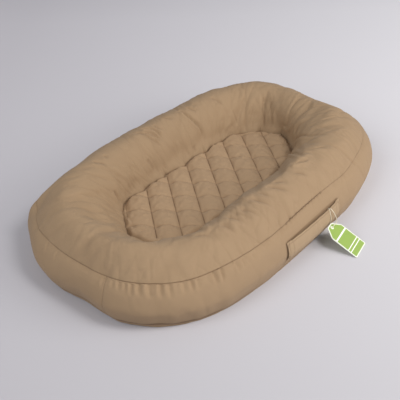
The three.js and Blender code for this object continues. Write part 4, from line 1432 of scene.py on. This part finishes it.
CLOSING_START = -65 * MM
CLOSING_END = 52 * MM
CLOSING_RUN = 2.2 * MM
STITCH_COUNT = 12
STITCH_BEFORE = 1.1 * MM
STITCH_AFTER = 1.3 * MM
THREAD = 0.8 * MM


def seam_place(x, run):
    """The dressed cover's point nearest a length x on the strap's side at a run from the top seam."""
    near = np.where(dressed[BAND_ROWS, :, 1] < 0, np.abs(dressed[BAND_ROWS, :, 0] - x), np.inf)
    column = int(near.argmin())
    row = int(np.abs(from_seam[:, column] - run).argmin())
    return dressed[row, column], normals[row, column]


def closing_stitches():
    verts, faces, count = [], [], 0
    pitch = (CLOSING_END - CLOSING_START) / STITCH_COUNT
    t = np.linspace(0, 1, 9)[:, None]
    for k in range(STITCH_COUNT):
        x = CLOSING_START + (k + 0.5) * pitch
        a, up = seam_place(x - STITCH_BEFORE, -CLOSING_RUN)
        b, _ = seam_place(x + STITCH_AFTER, CLOSING_RUN)
        route = lerp(a, b, t) + up * (0.35 * MM + 0.5 * MM * np.sin(math.pi * t))
        piece, sides = tube(route, THREAD / 2, 8)
        verts.append(piece)
        faces += [[i + count for i in face] for face in sides]
        count += len(piece)
    return make_object("closing_stitches", np.vstack(verts), faces, sewing_thread, "thread")


fit(closing_stitches(), "cushion", "closing_thread")

# The string: the free end that the tag hangs on, and a loop round the strap

STRING = 1.2 * MM
STRING_ROUTE = [
    (45.0, -241.0, 62.2), (46.2, -242.8, 60.0), (48.0, -244.6, 56.6), (50.0, -246.0, 52.4),
    (52.0, -247.2, 48.0), (53.8, -248.3, 43.6), (55.1, -249.4, 39.4), (55.5, -250.5, 35.8),
    (54.6, -251.5, 33.0), (52.4, -252.3, 31.5), (49.6, -252.9, 31.2), (46.6, -253.4, 31.8),
    (43.6, -254.1, 32.7), (40.6, -254.7, 33.4), (38.0, -255.0, 33.7), (36.1, -255.0, 33.2),
    (35.2, -254.6, 32.0), (35.05, -254.1, 31.0), (34.95, -253.6, 30.1),
]  # fmt: skip
LOOP_OFF = 0.95 * MM
LOOP_HEIGHTS = np.linspace(27, 59, 9) * MM


def plied(at, turn):
    """The radius round a cotton string of two strands, as a share."""
    return 0.86 + 0.14 * np.abs(np.cos(turn - at * 1500))


def hitch_loop():
    """The loop round the strap, close to its faces."""
    inner = band_face(HITCH_X, LOOP_HEIGHTS) - standoff(HITCH_X)
    line = np.full_like(inner, HITCH_X)
    front = np.column_stack([line, inner - STRAP_THICKNESS - LOOP_OFF, LOOP_HEIGHTS])
    back = np.column_stack([line, inner + LOOP_OFF, LOOP_HEIGHTS])[::-1]
    top = (HITCH_X, (front[-1, 1] + back[0, 1]) / 2, STRAP_TOP + LOOP_OFF)
    low = (HITCH_X, (front[0, 1] + back[-1, 1]) / 2, STRAP_BOTTOM - LOOP_OFF)
    closed = front[0] + [0.05 * MM, 0, 0]
    return evenly(spline([*front, top, *back, low, closed], 12), 200)


route = evenly(spline(np.array(STRING_ROUTE) * MM, 12), 220)
string = make_object("tag_string_cotton", *tube(route, STRING / 2, 12, plied), tie_string, "string")
fit(string, "tag", "tag_string")
loop = make_object("string_loop", *tube(hitch_loop(), STRING / 2, 10, plied), tie_string, "string")
fit(loop, "strap_right", "string_hitch")

# The tag: plain card with a pale edge and a printed field on both sides

TAG_LENGTH = 72 * MM
TAG_WIDTH = 46 * MM
TAG_NECK_WIDTH = 16 * MM
TAG_SHOULDER = 17 * MM
TAG_THICKNESS = 0.8 * MM
TAG_HOLE = 1.9 * MM
TAG_HOLE_INSET = 6.5 * MM
TAG_HEADING = math.radians(10)
TAG_EDGE = 2.2 * MM
TAG_ROUNDS = (4 * MM, 4 * MM, 3 * MM, 3 * MM, 3 * MM, 3 * MM)
TAG_STRIPES = [(-52 * MM, 0.9 * MM), (-46 * MM, 0.9 * MM), (-20 * MM, 1.6 * MM)]  # place and half width
FIELD_HOLE = 3.4 * MM
INK = 0.08 * MM
hole_middle = route[-1]
lean = math.asin((hole_middle[2] - SEAM_GAP) / (TAG_LENGTH - TAG_HOLE_INSET))
tag_across = np.array([math.cos(TAG_HEADING), math.sin(TAG_HEADING), 0])
tag_level = np.array([math.sin(TAG_HEADING), -math.cos(TAG_HEADING), 0])
tag_down = tag_level * math.cos(lean) - UP * math.sin(lean)
tag_up = np.cross(tag_across, -tag_down)


def tag_outline(inset):
    """The card's outline, inset evenly, with rounded corners, as (across, up from the hole)."""
    half, neck = TAG_WIDTH / 2 - inset, TAG_NECK_WIDTH / 2 - inset * 0.6
    top, bottom = TAG_HOLE_INSET - inset, TAG_HOLE_INSET - TAG_LENGTH + inset
    shoulder = TAG_HOLE_INSET - TAG_SHOULDER - inset * 0.25
    right = [(half, bottom), (half, shoulder), (neck, top)]
    corners = [(-half, bottom), *right, (-neck, top), (-half, shoulder)]
    points = []
    for k, (corner, radius) in enumerate(zip(corners, TAG_ROUNDS)):
        here = np.array(corner)
        back = unit(np.array(corners[k - 1]) - here)
        ahead = unit(np.array(corners[(k + 1) % len(corners)]) - here)
        radius = max(radius - inset, 0.6 * MM)
        points += [here + back * radius * (1 - t) ** 2 + ahead * radius * t**2 for t in np.linspace(0, 1, 7)]
    return np.array(points)


def hole_ring(radius, count=24):
    turn = np.arange(count) * TURN / count
    return np.stack([np.cos(turn), np.sin(turn)], -1) * radius


def on_tag(flat, lift):
    return hole_middle + np.outer(flat[:, 0], tag_across) - np.outer(flat[:, 1], tag_down) + tag_up * lift


def plate(name, inset, hole, low, high, material):
    """A flat closed plate of the tag's outline less inset, with a round hole."""
    loops = [tag_outline(inset), hole_ring(hole)]
    flat = np.vstack(loops)
    count = len(flat)
    upper, lower = [], []
    for a, b, c in tessellate_polygon([[Vector((*p, 0)) for p in loop] for loop in loops]):
        u, v = flat[b] - flat[a], flat[c] - flat[a]
        if u[0] * v[1] - u[1] * v[0] < 0:
            b, c = c, b
        upper.append([a, b, c])
        lower.append([c + count, b + count, a + count])
    sides = [[b, a, a + count, b + count] for a, b in boundary_edges(upper)]
    verts = np.vstack([on_tag(flat, high), on_tag(flat, low)])
    obj = make_object(name, verts, upper + lower + sides, material, "tag_card", False)
    set_attribute(obj.data, "along_card", np.concatenate([flat[:, 1]] * 2))
    return obj


tag_white = card("card edge", srgb(240, 244, 228))
tag_green = card("card field", srgb(150, 178, 84), TAG_STRIPES)
fit(plate("hang_tag_card", 0, TAG_HOLE / 2, 0.0, TAG_THICKNESS, tag_white), "tag", "hang_tag")
field = plate("hang_tag_field", TAG_EDGE, FIELD_HOLE, TAG_THICKNESS, TAG_THICKNESS + INK, tag_green)
fit(field, "tag")
fit(plate("hang_tag_underside", TAG_EDGE, FIELD_HOLE, -INK, 0.0, tag_green), "tag")

# Light and floor

# Painted light: the backdrop's colour ramps lighter to the right and away from the camera
FLOOR_DARK = srgb(195, 192, 198)
FLOOR_PALE = srgb(215, 213, 218)
FLOOR_NEAR_TONE = 0.85
FLOOR_FAR_TONE = 1.30


def floor_material():
    """A pale backdrop whose colour grows lighter to the right and away from the camera's place: painted
    light, for the lamps' fall-off across it.
    """
    n = Nodes("floor")
    place = n.add("NewGeometry").outputs["Position"]

    def ramp(direction, start, end, low, high):
        along = n.add("VectorMath", operation="DOT_PRODUCT")
        n.link(place, along.inputs[0])
        along.inputs[1].default_value = direction
        node = n.add("MapRange", From_Min=start, From_Max=end, To_Min=low, To_Max=high)
        n.link(along.outputs["Value"], node.inputs["Value"])
        return node.outputs[0]

    away = Vector((CAMERA_FORWARD.x, CAMERA_FORWARD.y, 0)).normalized()
    tone = n.add("VectorMath", operation="SCALE")
    shade = n.mix(ramp(CAMERA_RIGHT, -0.6, 0.6, 0.0, 1.0), FLOOR_DARK, FLOOR_PALE)
    n.link(shade, tone.inputs[0])
    n.link(ramp(away, -0.6, 1.0, FLOOR_NEAR_TONE, FLOOR_FAR_TONE), tone.inputs["Scale"])
    n.link(tone.outputs[0], n.shader.inputs["Base Color"])
    n.shader.inputs["Roughness"].default_value = 0.9
    n.shader.inputs["Specular IOR Level"].default_value = 0.1
    return n.material


FLOOR_HALF = 8.0
floor_corners = np.array([(-1, -1, 0), (1, -1, 0), (1, 1, 0), (-1, 1, 0)]) * FLOOR_HALF
make_object("floor", floor_corners, [(0, 1, 2, 3)], floor_material(), None, False)

LAMP_AWAY = 2.6
LAMPS = {
    # degrees round from +X, degrees up, size, power, colour
    "high key": (-80, 54, 0.9, 24.5, (1.0, 0.99, 0.97)),
    "low key": (-62, 28, 1.3, 23, (1.0, 0.985, 0.96)),
    "front key": (-84, 20, 1.3, 11, (1.0, 0.985, 0.96)),
    "back": (170, 42, 1.8, 24, (0.98, 0.99, 1.0)),
}
for name, (azimuth, climb, size, power, colour) in LAMPS.items():
    data = bpy.data.lights.new(name, "AREA")
    data.shape = "DISK"
    data.size = size
    data.energy = power
    data.color = colour
    turn, up = math.radians(azimuth), math.radians(climb)
    way = Vector((math.cos(turn) * math.cos(up), math.sin(turn) * math.cos(up), math.sin(up))).normalized()
    lamp = bpy.data.objects.new(name, data)
    SCENE.collection.objects.link(lamp)
    lamp.location = way * LAMP_AWAY
    lamp.rotation_euler = way.to_track_quat("Z", "Y").to_euler()

world = bpy.data.worlds.new("world")
SCENE.world = world
world.use_nodes = True
world.node_tree.nodes["Background"].inputs["Color"].default_value = (0.97, 0.98, 1.0, 1)
world.node_tree.nodes["Background"].inputs["Strength"].default_value = 0.3
SCENE.view_settings.view_transform = "Standard"
